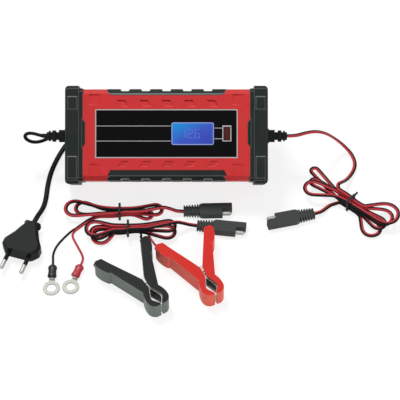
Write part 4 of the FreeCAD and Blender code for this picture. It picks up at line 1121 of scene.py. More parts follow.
def two_sided(offset: float, side: list[tuple[float, float]], second: int) -> Profile:
    """A section made of an arc on its right and the same one, turned half round, on its left.

    Args:
        offset: How far the arcs' centres lie from the middle.
        side: The right arc about its own centre.
        second: The number of the left arc's material.

    Returns:
        The section.
    """
    return [(offset + x, y, 0) for x, y in side] + [(-offset - x, -y, second) for x, y in side]


def flat_profile(width: float, height: float) -> Profile:
    """The section of a flat cord, rounded at its two sides."""
    return two_sided((width - height) / 2, arc(height / 2, -90.0, 90.0, 7), 0)


def twin_profile(width: float, height: float) -> Profile:
    """The section of two wires joined side by side, each with its own material."""
    return two_sided((width - height) / 2, arc(height / 2, -142.0, 142.0, 10), 1)


def round_profile(diameter: float) -> Profile:
    """The section of a round wire."""
    return [(x, y, 0) for x, y in arc(diameter / 2, 0.0, 360.0, 14)[:-1]]


def roll_at(stations: Pairs, distance: float) -> float:
    """The roll of a flat cord at a distance along it.

    Args:
        stations: Distances in millimetres with the roll in degrees at each.
        distance: The distance in millimetres.

    Returns:
        The roll in radians, eased from one station to the next.
    """
    for (start, first), (end, last) in zip(stations, stations[1:]):
        if start <= distance < end:
            share = (distance - start) / (end - start)
            return math.radians(first + (last - first) * share * share * (3 - 2 * share))
    return 0.0


def sections(line: list[Vector], profile: Profile, roll: Pairs) -> tuple[list[Vector], list[float]]:
    """The corners of a cord's sections, which lie level wherever the line does.

    Args:
        line: The centreline.
        profile: The section, in millimetres.
        roll: Where the cord is rolled about its line: distances in millimetres and degrees.

    Returns:
        The corners, one section after another, and each section's distance along the line.
    """
    levelling = 0.5
    aside = None
    corners, distances = [], []
    travelled = 0.0
    for number, point in enumerate(line):
        before, after = line[max(0, number - 1)], line[min(len(line) - 1, number + 1)]
        along = (after - before).normalized()
        travelled += (point - before).length
        distances.append(travelled)
        level = along.cross(UP)
        if aside is None:
            aside = level.normalized()
        carried = (aside - along * aside.dot(along)).normalized()
        if level.dot(carried) < 0:
            level = -level
        aside = (carried + level * level.length * levelling).normalized()
        over = aside.cross(along).normalized()
        turn = roll_at(roll, travelled / MM)
        wide = aside * math.cos(turn) + over * math.sin(turn)
        high = over * math.cos(turn) - aside * math.sin(turn)
        corners += [point + (wide * x + high * y) * MM for x, y, _ in profile]
    return corners, distances


def swept(label: str, line: list[Vector], profile: Profile, roll: Pairs) -> Item:
    """A cord's tube along its line.

    Args:
        label: The piece's name.
        line: The centreline.
        profile: The section, in millimetres.
        roll: Where the cord is rolled about its line: distances in millimetres and degrees.

    Returns:
        The tube, with a UV map that follows it.
    """
    count = len(profile)
    corners, distances = sections(line, profile, roll)
    faces, slots = [], []
    for ring in range(len(line) - 1):
        here, there = ring * count, (ring + 1) * count
        for k, (_, _, slot) in enumerate(profile):
            step = (k + 1) % count
            faces.append((here + k, here + step, there + step, there + k))
            slots.append(slot)
    faces.append(tuple(reversed(range(count))))
    faces.append(tuple((len(line) - 1) * count + k for k in range(count)))
    mesh = bpy.data.meshes.new(label)
    mesh.from_pydata(corners, [], faces)
    mesh.polygons.foreach_set("material_index", [*slots, 0, 0])
    uv = mesh.uv_layers.new(name="cord")
    for face in mesh.polygons[:-2]:
        # The face that closes a ring has its second corner back at the ring's start
        closing = face.vertices[1] % count == 0
        for loop in face.loop_indices:
            ring, k = divmod(mesh.loops[loop].vertex_index, count)
            place = count if closing and k == 0 else k
            uv.data[loop].uv = (place / count, distances[ring])
    item = bpy.data.objects.new(label, mesh)
    bpy.context.scene.collection.objects.link(item)
    close_up(item)
    return item


@dataclass
class Lead:
    """One free cord: its route, its section, the nodes that it stands for and what is on its end."""

    label: str
    route: list[Point]
    profile: Profile
    materials: tuple[Material, ...]
    nodes: tuple[str, ...]
    diameter: float
    length: float
    far_end: FarEnd
    pieces: tuple[Item, ...]
    stiffness: Stiffness = Stiffness.MEDIUM
    roll: Pairs = ()

    def build(self) -> None:
        line = centreline(self.route)
        item = swept(self.label, line, self.profile, self.roll)
        paint(item, *self.materials)
        stand_for(item, *self.nodes)
        log.info("%s follows %.3f m of line", self.label, line_length(line))


@dataclass
class MainsLead:
    """The flat lead from the left gland, under the case in a tied hank, and out to its plug."""

    finishes: Finishes
    width: float = 4.8
    length: float = 1.24
    floor: float = MAINS_HEIGHT / 2 + 0.25
    plug: Place = (-122.2, -75.0, -107.5)
    hank: Hank = Hank(
        place=(-25, 27, 0),
        loops=((56, 0, 13.5),) * 7,
        leave=56,
        height=MAINS_HEIGHT,
        spacing=6.1,
        slope_half=13,
        entry=56,
        hand=1,
    )
    roll: Pairs = ((0, 0), (9, -55), (17, -55), (30, 40), (44, 40), (60, 0))

    def route(self) -> list[Point]:
        """The points of the whole lead.

        Returns:
            The points, from the gland on.
        """
        x, y, z = GLAND_TIP
        run = [
            (-x, y, z),
            (-x - 5, y, z),
            (-123, 0.8, 46),
            (-128.8, 1.2, 46.2),
            (-132.4, 1.9, 42),
            (-131.2, 1.2, 37),
            (-125.8, 0.6, 33.6),
            (-118, 3.4, 31.2),
            (-108, 12, 29.4),
            (-98.4, 18.4, 25),
            self.hank.way_in(6.5),
        ]
        tail = [
            self.hank.way_out(8),
            (-96.6, 26.4, self.floor + 0.4),
            (-101.2, 17.6, self.floor),
            (-106.4, 4.4, self.floor),
            (-110.6, -10.5, self.floor),
            (-112.6, -27, self.floor),
            (-113.0, -42, self.floor),
            (-114.8, -54, self.floor + 1.4),
        ]
        return run + self.hank.points() + tail + entry_points(self.plug, PLUG_AXIS, 8, 0)

    def build(self) -> None:
        """Makes the plug, its pins and the lead."""
        body = rounded_node("plug_body", self.finishes.plug, width=1.8, segments=4)
        pins = dress("plug_pins", self.finishes.nickel)
        sleeves = dress("plug_pin_sleeves", self.finishes.plug)
        Lead(
            label="mains_lead",
            route=self.route(),
            profile=flat_profile(self.width, MAINS_HEIGHT),
            materials=(self.finishes.cord_black,),
            nodes=("mains_cord_run", "mains_cord_hank", "mains_cord_tail"),
            diameter=self.width,
            length=self.length,
            far_end=FarEnd.PLUG,
            pieces=(body, pins, sleeves),
            roll=self.roll,
        ).build()


@dataclass
class TwinLead:
    """What the three leads of two joined wires share: how their couplings and cords are made."""

    name: ClassVar[str]
    finishes: Finishes
    floor: float = LEAD_HEIGHT / 2 + CLEARANCE
    wire_floor: float = WIRE_DIAMETER / 2 + CLEARANCE

    def rounded_coupling(self) -> Item:
        """The lead's coupling, its edges rounded."""
        return rounded_node(f"{self.name}_connector", self.finishes.coupling, width=0.7, segments=3)

    def twin(
        self,
        route: list[Point],
        length: float,
        coupling: Item,
        stretches: tuple[str, ...] = ("run", "hank", "tail"),
        width: float = LEAD_WIDTH,
    ) -> None:
        """Makes the twin lead.

        Args:
            route: Its points.
            length: Its length in metres.
            coupling: The coupling that it carries.
            stretches: The nodes that it stands for, by the ends of their names.
            width: How wide its tube is drawn.
        """
        Lead(
            label=f"{self.name}_lead",
            route=route,
            profile=twin_profile(width, LEAD_HEIGHT),
            materials=(self.finishes.cord_red, self.finishes.cord_black),
            nodes=tuple(f"{self.name}_cord_{stretch}" for stretch in stretches),
            diameter=LEAD_WIDTH,
            length=length,
            far_end=FarEnd.CONNECTOR,
            pieces=(coupling,),
        ).build()

    def wire(self, colour: str, route: list[Point], length: float, far_end: FarEnd, *pieces: Item) -> None:
        """Makes one of the two wires beyond the split.

        Args:
            colour: Its colour.
            route: Its points.
            length: Its length in metres.
            far_end: What it ends in.
            pieces: What it carries.
        """
        skins = {"black": self.finishes.cord_black, "red": self.finishes.cord_red}
        Lead(
            label=f"{self.name}_lead_{colour}_wire",
            route=route,
            profile=round_profile(WIRE_DIAMETER),
            materials=(skins[colour],),
            nodes=(f"{self.name}_wire_{colour}",),
            diameter=WIRE_DIAMETER,
            length=length,
            far_end=far_end,
            pieces=pieces,
            stiffness=Stiffness.LIMP,
        ).build()


@dataclass
class OutputLead(TwinLead):
    """The twin lead from the right gland, down into a loose tied hank, and out to its coupling.

    Its tube is drawn a little narrower than it is, which keeps its many loops clear of each other.
    """

    name: ClassVar[str] = "output"
    coupling: Place = (136.1, -60.5, 193.2)
    length: float = 0.89
    drawn_width: float = LEAD_WIDTH - 0.12
    hank: Hank = Hank(
        place=(170.3, -50.1, -39),
        loops=(
            (46, 14, 11.5),
            (45, 15, 8),
            (42, 8, 9),
            (44, 2, 4),
            (39, -3, 6.5),
            (54, -13, 3.6),
            (40, -17, 8.5),
        ),
        leave=5,
    )

    def route(self) -> list[Point]:
        """The points of the whole lead.

        Returns:
            The points, from the gland on.
        """
        x, y, z = GLAND_TIP
        run = [
            (x, y, z),
            (x + 8, y, z),
            (128, 4.5, 42.2),
            (138.5, 10.5, 38),
            (149, 15.6, 29.5),
            (158.2, 18.8, 18.5),
            (167.5, 18.6, 8.6),
            (175.6, 11.8, 3.2),
            (178.6, 0.6, 2.5),
            (175.8, -9.4, 2.5),
            (171, -17.4, 3.6),
            (166.8, -24.2, 7.2),
            (162.6, -29.6, 11.6),
            (159, -33.6, 14),
            self.hank.way_in(4),
        ]
        tail = [
            self.hank.way_out(5),
            (157.2, -46.8, self.floor + 0.3),
            (151.8, -48.6, self.floor + 0.1),
            (147.4, -53.0, self.floor + 0.7),
        ]
        return run + self.hank.points() + tail + entry_points(self.coupling, COUPLING_AXIS, 6, 0)

    def build(self) -> None:
        """Makes the coupling and the lead."""
        self.twin(self.route(), self.length, self.rounded_coupling(), width=self.drawn_width)


@dataclass
class RingLead(TwinLead):
    """The loose lead with a coupling at one end and two ring terminals at the other.

    The sleeves' outline gives how far from a sleeve's rear end each radius lies.
    """

    name: ClassVar[str] = "ring"
    coupling: Place = (15.5, -57.8, 1.5)
    length: float = 0.46
    wire_length: float = 0.045
    black_ring: Place = (-101.9, -118.1, -90.0)
    red_ring: Place = (-76.6, -118.1, -110.0)
    split: tuple[float, float] = (-84.4, -77.6)
    before_split: tuple[float, float] = (-77.2, -70.8)
    hank: Hank = Hank(
        place=(-43.5, -59.8, 180), loops=((50, -4, 8.5), (39, 2, 6), (41, -8, 7), (30, -6, 5)), leave=13
    )
    sleeve_outline: Pairs = (
        (0.05, 1.5),
        (0.7, 2.3),
        (1.7, 3.4),
        (3.0, 4.05),
        (4.6, 3.95),
        (6.8, 3.55),
        (9.5, 3.7),
        (12.6, 4.1),
        (13.4, 3.9),
        (13.5, 3.4),
    )
    sleeve_squash: float = 0.68
    sleeve_sides: int = 28

    def twin_route(self) -> list[Point]:
        """The points of the twin lead, from its coupling to the split.

        Returns:
            The points.
        """
        run = entry_points(self.coupling, COUPLING_AXIS, 0, 5.5) + [
            (4, -57.6, 7),
            (-2.8, -58.8, 11.8),
            (-11.4, -61.2, 12.2),
            (-20.4, -63, 11.6),
            self.hank.way_in(5),
        ]
        tail = [
            self.hank.way_out(7),
            (-70.8, -65.2, self.floor + 0.2),
            (*self.before_split, self.floor),
            (*self.split, self.floor),
        ]
        return run + self.hank.points() + tail

    def wire_start(self, side: int, share: float) -> list[Point]:
        """The first two points of a wire, beside the split and beyond it.

        Args:
            side: 1 for the wire on the cord's right, -1 for the other.
            share: How far beyond the split, in lengths of the last run.

        Returns:
            The two points.
        """
        along = Vector((*self.split, 0)) - Vector((*self.before_split, 0))
        aside = along.normalized().cross(UP) * WIRE_OFFSET * side
        start = Vector((*self.split, self.floor)) + aside
        return [tuple(start), tuple(start + along * share)]

    def sleeve(self, node: str, place: Place, material: Material) -> Item:
        """A round soft sleeve, flattened as the crimp under it is.

        Args:
            node: The node that it stands for.
            place: The place of the sleeve's rear end.
            material: Its finish.

        Returns:
            The sleeve.
        """
        (start, first), (end, second) = self.sleeve_outline[:2]
        deselect()
        bpy.ops.mesh.primitive_cone_add(
            vertices=self.sleeve_sides,
            radius1=first * MM,
            radius2=second * MM,
            depth=(end - start) * MM,
            end_fill_type="TRIFAN",
            calc_uvs=False,
            location=((start + end) / 2 * MM, 0.0, 0.0),
            rotation=(0.0, math.pi / 2, 0.0),
        )
        item = bpy.context.object
        item.name = f"{node}_round"
        bpy.ops.object.transform_apply(location=True, rotation=True, scale=True)
        rim = end * MM - WELD
        select_edges(item, lambda edge: all(item.data.vertices[k].co.x > rim for k in edge.vertices))
        with editing(item):
            for (here, before), (there, after) in zip(self.sleeve_outline[1:], self.sleeve_outline[2:]):
                move = {"value": ((there - here) * MM, 0.0, 0.0)}
                bpy.ops.mesh.extrude_region_move(TRANSFORM_OT_translate=move)
                share = after / before
                bpy.ops.transform.resize(value=(1.0, share, share), center_override=(there * MM, 0.0, 0.0))
        x, y, heading = place
        squash = Matrix.Diagonal((1.0, 1.0, self.sleeve_squash, 1.0))
        spin = Matrix.Rotation(math.radians(heading), 4, "Z") @ squash
        item.data.transform(Matrix.Translation(Vector((x, y, SLEEVE_AXIS)) * MM) @ spin)
        close_up(item)
        paint(item, material)
        return stand_for(item, node)

    def build(self) -> None:
        """Makes the coupling, the twin lead, and each wire with its sleeve and ring."""
        coupling = self.rounded_coupling()
        rings = rounded_node("ring_terminals", self.finishes.tin, width=0.25, edge=self.finishes.tin_edge)
        self.twin(self.twin_route()[::-1], self.length, coupling)
        black_sleeve = self.sleeve("ring_sleeve_black", self.black_ring, self.finishes.sleeve_black)
        red_sleeve = self.sleeve("ring_sleeve_red", self.red_ring, self.finishes.sleeve_red)
        black = self.wire_start(side=1, share=0.55) + [
            (-95.2, -88.4, self.wire_floor),
            (-100.6, -96.8, self.wire_floor),
            (-102.8, -106.6, self.wire_floor + 0.6),
        ]
        red = self.wire_start(side=-1, share=0.3) + [
            (-86.2, -85.2, self.wire_floor),
            (-83.0, -92.0, self.wire_floor),
            (-79.0, -99.8, self.wire_floor),
            (-75.6, -107.4, self.wire_floor + 0.6),
        ]
        wires = (("black", black, self.black_ring, black_sleeve), ("red", red, self.red_ring, red_sleeve))
        for colour, points, ring, sleeve in wires:
            route = points + entry_points(ring, SLEEVE_AXIS, 5, 0)
            self.wire(colour, route, self.wire_length, FarEnd.FITTING, sleeve, rings)


@dataclass
class BatteryClamp:
    """A spring clamp: two steel jaws in plastic covers. A wire enters the nozzle of one of the covers."""

    colour: str
    place: Place
    wired_side: int
    cover: Material
    cover_highlight: Material
    steel: Material
    thickness: float = 17.0
    nozzle: tuple[float, float] = (67.0, 23.4)
    nozzle_length: float = 7.0
    nozzle_slant: float = 10.0

    def wire_entry(self, back: float) -> Point:
        """The point where the wire meets the nozzle, or one further back from it.

        Args:
            back: How far back.

        Returns:
            The point.
        """
        slant = math.radians(self.nozzle_slant)
        x = self.nozzle[0] + (self.nozzle_length + back) * math.cos(slant)
        y = self.nozzle[1] + (self.nozzle_length + back) * math.sin(slant)
        return placed(self.place, x, self.wired_side * y, self.thickness / 2)

    def build(self) -> None:
        """Rounds and dresses the jaws and their covers."""
        for arm in ("fixed", "moving"):
            rounded_node(f"{self.colour}_{arm}_jaw", self.steel, width=0.25)
            sleeve = f"{self.colour}_{arm}_sleeve"
            # The covers' rounded edges get a paler colour, a painted highlight.
            rounded_node(sleeve, self.cover, width=0.9, segments=3, edge=self.cover_highlight)


@dataclass
class ClampLead(TwinLead):
    """The loose lead with a coupling at one end and the two clamps' wires at the other."""

    name: ClassVar[str] = "clamp"
    coupling: Place = (28.0, -74.3, -6.8)
    length: float = 0.5
    black_length: float = 0.03
    red_length: float = 0.045
    tucked: float = 3.0
    hank: Hank = Hank(
        place=(-35.3, -79.2, 180),
        loops=((38, 2, 8), (43, 3, 6), (34, 8, 7), (43, -5, 7), (33, 14, 8)),
        leave=4.5,
    )

    def twin_route(self) -> list[Point]:
        """The points of the twin lead, from its coupling to the end of its hank.

        Returns:
            The points.
        """
        run = entry_points(self.coupling, COUPLING_AXIS, 0, 6) + [
            (16, -74.2, 7.2),
            (9, -76.2, 12),
            (0, -79, 12.2),
            (-9.6, -80.8, 11.6),
            self.hank.way_in(5),
        ]
        return run + self.hank.points()

    def wire_start(self, side: int, after: float) -> list[Point]:
        """The first two points of a wire, just inside the twin lead's end and beyond it.

        Args:
            side: 1 towards the charger, -1 away from it.
            after: How far beyond the end, in millimetres.

        Returns:
            The two points.
        """
        ends = [self.hank.way_out(beyond) for beyond in (-self.tucked, after)]
        return [(x, y + WIRE_OFFSET * side, z) for x, y, z in ends]

    def build(self, black: BatteryClamp, red: BatteryClamp) -> None:
        """Makes the coupling, the twin lead and the clamps' wires.

        Args:
            black: The black clamp, already built.
            red: The red clamp, already built.
        """
        self.twin(self.twin_route()[::-1], self.length, self.rounded_coupling(), stretches=("run", "hank"))
        black_route = self.wire_start(side=-1, after=3.4) + [
            (-23.8, -80.6, self.wire_floor + 0.2),
            (-22.8, -85.6, 2.4),
            (-23.4, -89.0, 5.4),
            black.wire_entry(4.4),
            black.wire_entry(0),
        ]
        red_route = self.wire_start(side=1, after=5.0) + [
            (-20.0, -77.6, self.wire_floor),
            (-16.6, -82.6, self.wire_floor),
            (-14.2, -88.2, self.wire_floor + 0.1),
            (-12.4, -93.2, 4.4),
            red.wire_entry(5.6),
            red.wire_entry(0),
        ]
        self.wire("black", black_route, self.black_length, FarEnd.CLAMP)
        self.wire("red", red_route, self.red_length, FarEnd.CLAMP)


# Sub-assemblies of the case

# The middle of the display's pane, across and up the case, and how far out its middle and its face lie
PANE_SPOT = (24.0, 0.9)
PANE_MIDDLE = 43.2
PANE_FACE = 43.9


def case_plane() -> CasePlane:
    """The plane of the case's back, found from the display's pane, which lies known distances from it.

    Returns:
        The plane, with its origin in the middle.
    """
    low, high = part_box("lcd_window")
    leaning = CasePlane(Vector((0.0, 0.0, 0.0)))
    return CasePlane((low + high) / 2 - leaning.at(*PANE_SPOT, PANE_MIDDLE))


@dataclass
class Housing:
    """The leaning case with its rubber ends and grips, its glands and screws.

    A face or level is a distance out from the case's back. A half is how far a region reaches across
    and up from the middle. Walls are as wide as they look from the front, and a rise is the least
    share of a wall's normal that points up or down the face.
    """

    finishes: Finishes
    plane: CasePlane
    face: float = 44.5
    level_tolerance: float = 0.02
    dent_depth: float = 1.2
    dent_slope: float = 0.85
    dent_wall: float = 0.75
    dent_reach: float = 13.5
    dent_half: float = 75.0
    dent_inner_corners: Pairs = ((25.0, 27.2), (-24.6, -23.8), (-27.3, -26.6))
    shaded_half: tuple[float, float] = (72.0, 35.5)
    shaded_rise: float = 0.25
    shaded_rim: float = 0.04
    bumper_face: float = 45.2
    pad_height: float = 0.8
    pad_reach: float = 30.0
    pad_wall: float = 0.7
    pad_rise: float = 0.3
    pad_rim: float = 0.1
    ledge_level: float = 9.0
    ledge_tolerance: float = 0.6
    ledge_half: tuple[float, float] = (56.0, 34.0)
    flange_spot: tuple[float, float] = (0.85, -34.9)
    flange_size: tuple[float, float] = (109.0, 5.0)
    flange_taper: float = 2.4
    flange_sink: float = 0.1
    flange_thickness: float = 0.55

    def slope_walls(self, item: Item, level: float, reach: float, width: float) -> None:
        """Slants the walls round the flat islands at one level of a piece, such as the dents' floors.

        Args:
            item: The piece, before it is rounded.
            level: How far out the islands lie.
            reach: The most that two corners of one island lie apart.
            width: How wide the walls become.
        """
        islands: list[list[bpy.types.MeshVertex]] = []
        for vertex in item.data.vertices:
            if abs(self.plane.local(vertex.co).z - level) > self.level_tolerance:
                continue
            near = [island for island in islands if (island[0].co - vertex.co).length < reach * MM]
            if near:
                near[0].append(vertex)
            else:
                islands.append([vertex])
        for island in islands:
            centre = sum((vertex.co for vertex in island), Vector()) / len(island)
            for vertex in island:
                away = self.plane.local(self.plane.origin + vertex.co - centre)
                vertex.co.x -= math.copysign(width * MM, away.x)
                vertex.co -= self.plane.upwards * math.copysign(width * MM, away.y)

    def slope_dents(self, item: Item) -> None:
        """Slants the floors of the dents, which run out towards the middle of the face, and their walls.

        Args:
            item: The front cover, before it is rounded.
        """
        floor = self.face - self.dent_depth
        lifted = []
        for vertex in item.data.vertices:
            across, up, out = self.plane.local(vertex.co)
            on_floor = abs(out - floor) < self.level_tolerance and abs(across) < self.dent_half
            if on_floor and any(low < up < high for low, high in self.dent_inner_corners):
                lifted.append(vertex)
        self.slope_walls(item, floor, self.dent_reach, self.dent_wall)
        for vertex in lifted:
            vertex.co += self.plane.outwards * self.dent_slope * MM

    def shade_dents(self, item: Item) -> None:
        """Paints shade on the walls above the dents and the fascia, in a deeper red, and a highlight on the
        walls below them, in a paler one.

        Args:
            item: The front cover, already painted.
        """
        deep = add_material(item, self.finishes.case_shade)
        for face in item.data.polygons:
            across, up, out = self.plane.local(face.center)
            rise = face.normal.dot(self.plane.upwards)
            inside = abs(across) < self.shaded_half[0] and abs(up) < self.shaded_half[1]
            sunk = self.face - self.dent_depth < out < self.face - self.shaded_rim
            if inside and sunk and abs(rise) > self.shaded_rise:
                face.material_index = deep if rise < 0 else 1

    def mark_pads(self, item: Item) -> None:
        """Gives the upper walls of a bumper's pads its second material, the paler rubber of a painted
        highlight.

        Args:
            item: The bumper, before it is painted.
        """
        for face in item.data.polygons:
            step = self.plane.local(face.center).z - self.bumper_face
            on_wall = self.pad_rim < step < self.pad_height - self.pad_rim
            face.material_index = int(on_wall and face.normal.dot(self.plane.upwards) > self.pad_rise)

    def cover_ledge(self, item: Item) -> None:
        """Gives the ledges of the rear cover, on which the grips stand, the paler rubber of the painted
        highlights.

        Args:
            item: The rear cover, already painted.
        """
        last = add_material(item, self.finishes.rubber_painted_highlight)
        for face in item.data.polygons:
            across, up, out = self.plane.local(face.center)
            level = abs(out - self.ledge_level) < self.ledge_tolerance
            if level and abs(across) < self.ledge_half[0] and abs(up) > self.ledge_half[1]:
                face.material_index = last

    def lower_flange(self) -> Item:
        """The edge of the lower grip that reaches up over the face.

        Returns:
            A plate that narrows upwards.
        """
        item = self.plane.panel("flange", (*self.flange_spot, self.face - self.flange_sink), self.flange_size)
        for vertex in item.data.vertices:
            across, up, _ = self.plane.local(vertex.co)
            if up > self.flange_spot[1]:
                vertex.co.x -= math.copysign(self.flange_taper * MM, across)
        thicken(item, self.flange_thickness)
        return item

    def build(self) -> None:
        """Rounds and dresses the outer pieces."""
        case, case_painted_highlight = self.finishes.case, self.finishes.case_painted_highlight
        rubber, rubber_painted_highlight = self.finishes.rubber, self.finishes.rubber_painted_highlight
        front = merged_copy("front_cover", whole=False)
        self.slope_dents(front)
        # The front cover's rounded edges get a paler red, a painted highlight.
        stand_for(round_off(front, case, width=0.5, edge=case_painted_highlight), "front_cover")
        self.shade_dents(front)
        rear = merged_copy("rear_cover", whole=False)
        stand_for(round_off(rear, case, width=0.5), "rear_cover")
        self.cover_ledge(rear)
        dress("cover_seal", self.finishes.seal)
        # The rounded edges of the bumpers and grips, and the upper walls of the pads, get a paler rubber: a
        # painted highlight.
        for node in ("left_bumper", "right_bumper"):
            bumper = merged_copy(node)
            self.slope_walls(bumper, self.bumper_face + self.pad_height, self.pad_reach, self.pad_wall)
            self.mark_pads(bumper)
            stand_for(round_off(bumper, rubber, width=1.0, edge=rubber_painted_highlight), node)
        rounded_node("top_grip", rubber, width=1.0, edge=rubber_painted_highlight)
        grip = round_off(merged_copy("bottom_grip"), rubber, width=0.9, edge=rubber_painted_highlight)
        stand_for(joined(grip, round_off(self.lower_flange(), rubber, width=0.25)), "bottom_grip")
        for node in ("mains_gland", "output_gland"):
            rounded_node(node, self.finishes.plug, width=0.4)
        dress("screws", self.finishes.steel)


@dataclass
class FrontPanel:
    """The gloss fascia with its silver lines, the lit display and the mode key.

    A digit is made of strokes named a to g, from the top round to the middle, each shorter than its
    side of the digit by a share of its own width. Square is the least share of its length by which
    an edge that is square to the face runs straight out.
    """

    finishes: Finishes
    plane: CasePlane
    window: Point = (*PANE_SPOT, PANE_FACE)
    window_size: tuple[float, float] = (38.8, 20.7)
    corner: float = 1.8
    corner_segments: int = 5
    square: float = 0.99
    frame_width: float = 0.85
    frame_inset: float = 0.05
    frame_thickness: float = 0.05
    digits: str = "12.6"
    first_digit: float = -9.0
    digit_height: float = 7.6
    digit_width: float = 4.2
    digit_gap: float = 2.4
    point_back: float = 3.3
    stroke: float = 0.75
    gap_share: float = 0.7
    stroke_thickness: float = 0.04
    lit_strokes: ClassVar[dict[str, str]] = {"1": "bc", "2": "abged", "6": "acdefg"}

    def round_corners(self, corners: Corners) -> None:
        """Rounds the corners that are selected in edit mode."""
        bpy.ops.mesh.bevel(offset=self.corner * MM, affect=corners.value, segments=self.corner_segments)

    def pane(self) -> Item:
        """The lit pane, its four corners rounded as they are seen from the front.

        Returns:
            The pane.
        """
        item = merged_copy("lcd_window", ending="lit")
        corners = item.data.vertices
        outwards = self.plane.outwards

        def stands_out(edge: bpy.types.MeshEdge) -> bool:
            """Whether an edge runs square to the face."""
            first, last = (corners[k].co for k in edge.vertices)
            return abs((last - first).normalized().dot(outwards)) > self.square

        select_edges(item, stands_out)
        with editing(item):
            self.round_corners(Corners.OF_BLOCK)
        low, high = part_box("lcd_window")
        paint(item, LitDisplay("display_light", low, high).material())
        return item

    def frame(self) -> Item:
        """The pale line round the lit pane, with rounded corners.

        Returns:
            The line, as thin as a print.
        """
        length, width = (side - 2 * self.frame_inset for side in self.window_size)
        item = self.plane.panel("display_frame", self.window, (length, width))
        with editing(item):
            bpy.ops.mesh.select_all(action="SELECT")
            self.round_corners(Corners.OF_SHEET)
            bpy.ops.mesh.select_all(action="SELECT")
            bpy.ops.mesh.inset(thickness=self.frame_width * MM)
            bpy.ops.mesh.delete(type="FACE")
        thicken(item, self.frame_thickness)
        paint(item, self.finishes.display_frame)
        return item

    def marks(self) -> list[Item]:
        """The faint digits in the middle of the pane.

        Returns:
            One piece for each stroke.
        """
        half, quarter = self.digit_width / 2, self.digit_height / 4
        places = {
            "a": (0.0, 2 * quarter, 0.0),
            "b": (half, quarter, 90.0),
            "c": (half, -quarter, 90.0),
            "d": (0.0, -2 * quarter, 0.0),
            "e": (-half, -quarter, 90.0),
            "f": (-half, quarter, 90.0),
            "g": (0.0, 0.0, 0.0),
        }
        x, y, z = self.window
        items = []
        start = x + self.first_digit
        for character in self.digits:
            if character == ".":
                spot = (start - self.point_back, y - 2 * quarter, z)
                items.append(self.plane.panel("point", spot, (self.stroke, self.stroke)))
                continue
            for name in self.lit_strokes[character]:
                across, up, turn = places[name]
                length = (2 * quarter if turn else self.digit_width) - self.stroke * self.gap_share
                items.append(self.plane.panel(name, (start + across, y + up, z), (length, self.stroke), turn))
            start += self.digit_width + self.digit_gap
        for item in items:
            thicken(item, self.stroke_thickness)
            paint(item, self.finishes.display_mark)
        return items

    def build(self) -> None:
        """Dresses the panel."""
        rounded_node("display_fascia", self.finishes.fascia, width=0.3)
        rounded_node("fascia_trim", self.finishes.trim, width=0.12)
        stand_for(joined(self.pane(), self.frame(), *self.marks()), "lcd_window")
        dress("lcd_module", self.finishes.component)
        rounded_node("mode_button", self.finishes.key, width=0.3)


@dataclass
class Electronics:
    """The boards and what stands on them, closed in the case."""

    finishes: Finishes

    def build(self) -> None:
        """Dresses the inner pieces."""
        for node in ("main_board", "display_board"):
            dress(node, self.finishes.board)
        for node in ("button_switch", "transformer", "capacitors", "power_transistors"):
            dress(node, self.finishes.component)
        dress("choke", self.finishes.copper)
        dress("heat_sink", self.finishes.aluminium)
        dress("fuse", self.finishes.tin)


# The studio


@dataclass(frozen=True)
class Lamp:
    """A square lamp: where it hangs and its side in metres, and its power in watts."""

    label: str
    place: Point
    power: float
    side: float

    def build(self, aim: Vector) -> None:
        """Hangs the lamp and aims it.

        Args:
            aim: The spot that it is aimed at.
        """
        data = bpy.data.lights.new(self.label, "AREA")
        data.energy = self.power
        data.size = self.side
        item = bpy.data.objects.new(self.label, data)
        item.location = self.place
        item.rotation_euler = (aim - Vector(self.place)).to_track_quat("-Z", "Y").to_euler()
        bpy.context.scene.collection.objects.link(item)


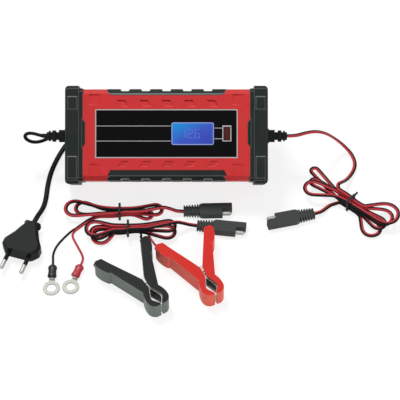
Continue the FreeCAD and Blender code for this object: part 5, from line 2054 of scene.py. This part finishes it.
@dataclass
class Studio:
    """The camera at the photograph's place, soft lamps and a white floor.

    Lengths are in metres, but the lens and the sensor are in millimetres.
    """

    aim: Point = (0.03072, -0.04153, 0.0)
    distance: float = 1.4
    elevation: float = 52.0
    lens: float = 134.82
    fill: float = 0.42
    lamps: tuple[Lamp, ...] = (
        Lamp("key", (-0.35, 0.5, 1.3), power=8.8, side=0.35),
        Lamp("side", (0.6, -1.0, 0.7), power=3.2, side=0.6),
    )
    floor_size: float = 8.0
    floor_drop: float = 0.0002
    floor_grey: float = 0.8
    floor_seen_grey: float = 0.3
    floor_glow: float = 0.78
    floor_roughness: float = 0.9
    sensor: float = 36.0
    near_limit: float = 0.05

    def camera(self) -> None:
        """Makes the camera."""
        tilt = math.radians(self.elevation)
        offset = Vector((0.0, -math.cos(tilt), math.sin(tilt))) * self.distance
        data = bpy.data.cameras.new("camera")
        data.lens = self.lens
        data.sensor_width = self.sensor
        data.clip_start = self.near_limit
        item = bpy.data.objects.new("camera", data)
        item.location = Vector(self.aim) + offset
        item.rotation_euler = (math.pi / 2 - tilt, 0.0, 0.0)
        bpy.context.scene.collection.objects.link(item)
        bpy.context.scene.camera = item

    def world(self) -> None:
        """Fills the room with an even light, and looks white itself and in whatever mirrors it."""
        world = bpy.data.worlds.new("room")
        world.use_nodes = True
        bench = Bench(world.node_tree)
        background = world.node_tree.nodes["Background"]
        background.inputs["Color"].default_value = (1.0, 1.0, 1.0, 1.0)
        bench.feed(bench.ranged(self.seen(bench), low=self.fill, high=1.0), background.inputs["Strength"])
        bpy.context.scene.world = world

    def seen(self, bench: Bench) -> Socket:
        """1 for the camera's rays, mirrored rays and rays through glass, and 0 for light on the pieces.

        Args:
            bench: The bench on the shader that asks.

        Returns:
            The number.
        """
        path = bench.add("LightPath")
        total = path.outputs["Is Camera Ray"]
        for name in ("Is Glossy Ray", "Is Transmission Ray"):
            total = bench.maths("MAXIMUM", total, path.outputs[name])
        return total

    def floor(self) -> None:
        """Lays the floor, which looks white and keeps the charger's shadow."""
        deselect()
        bpy.ops.mesh.primitive_plane_add(size=self.floor_size, location=(0.0, 0.0, -self.floor_drop))
        item = bpy.context.object
        item.name = "floor"
        material, bench, shader = new_material("floor_white")
        grey = bench.mixed(self.seen(bench), (self.floor_grey,) * 3, (self.floor_seen_grey,) * 3)
        bench.feed(grey, shader.inputs["Base Color"])
        shader.inputs["Roughness"].default_value = self.floor_roughness
        shader.inputs["Specular IOR Level"].default_value = 0.0
        shader.inputs["Emission Color"].default_value = (1.0, 1.0, 1.0, 1.0)
        glow = bench.ranged(self.seen(bench), low=0.0, high=self.floor_glow)
        bench.feed(glow, shader.inputs["Emission Strength"])
        paint(item, material)

    def build(self) -> None:
        """Sets up the whole studio."""
        bpy.context.scene.view_settings.view_transform = "Standard"
        self.camera()
        self.world()
        for lamp in self.lamps:
            lamp.build(Vector(self.aim))
        self.floor()


def main() -> None:
    """Builds the studio, the charger and its leads, in that order."""
    logging.basicConfig(level=logging.INFO, format="%(name)s: %(message)s")
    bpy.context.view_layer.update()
    bpy.context.view_layer.update()
    Studio().build()
    finishes = Finishes()
    plane = case_plane()
    Housing(finishes, plane).build()
    FrontPanel(finishes, plane).build()
    Electronics(finishes).build()
    black = BatteryClamp(
        colour="black",
        place=(-2.4, -169.7, 122.7),
        wired_side=-1,
        cover=finishes.clamp_black,
        cover_highlight=finishes.clamp_black_painted_highlight,
        steel=finishes.steel,
    )
    red = BatteryClamp(
        colour="red",
        place=(44.9, -159.1, 114.6),
        wired_side=1,
        cover=finishes.clamp_red,
        cover_highlight=finishes.clamp_red_painted_highlight,
        steel=finishes.steel,
    )
    black.build()
    red.build()
    dress("clamp_pivot_pins", finishes.steel)
    dress("clamp_springs", finishes.spring)
    dress("connector_contacts", finishes.nickel)
    rounded_node("cord_ties", finishes.tie, width=0.3)
    MainsLead(finishes).build()
    OutputLead(finishes).build()
    RingLead(finishes).build()
    ClampLead(finishes).build(black, red)
    bpy.context.view_layer.update()


if __name__ == "__main__":
    main()
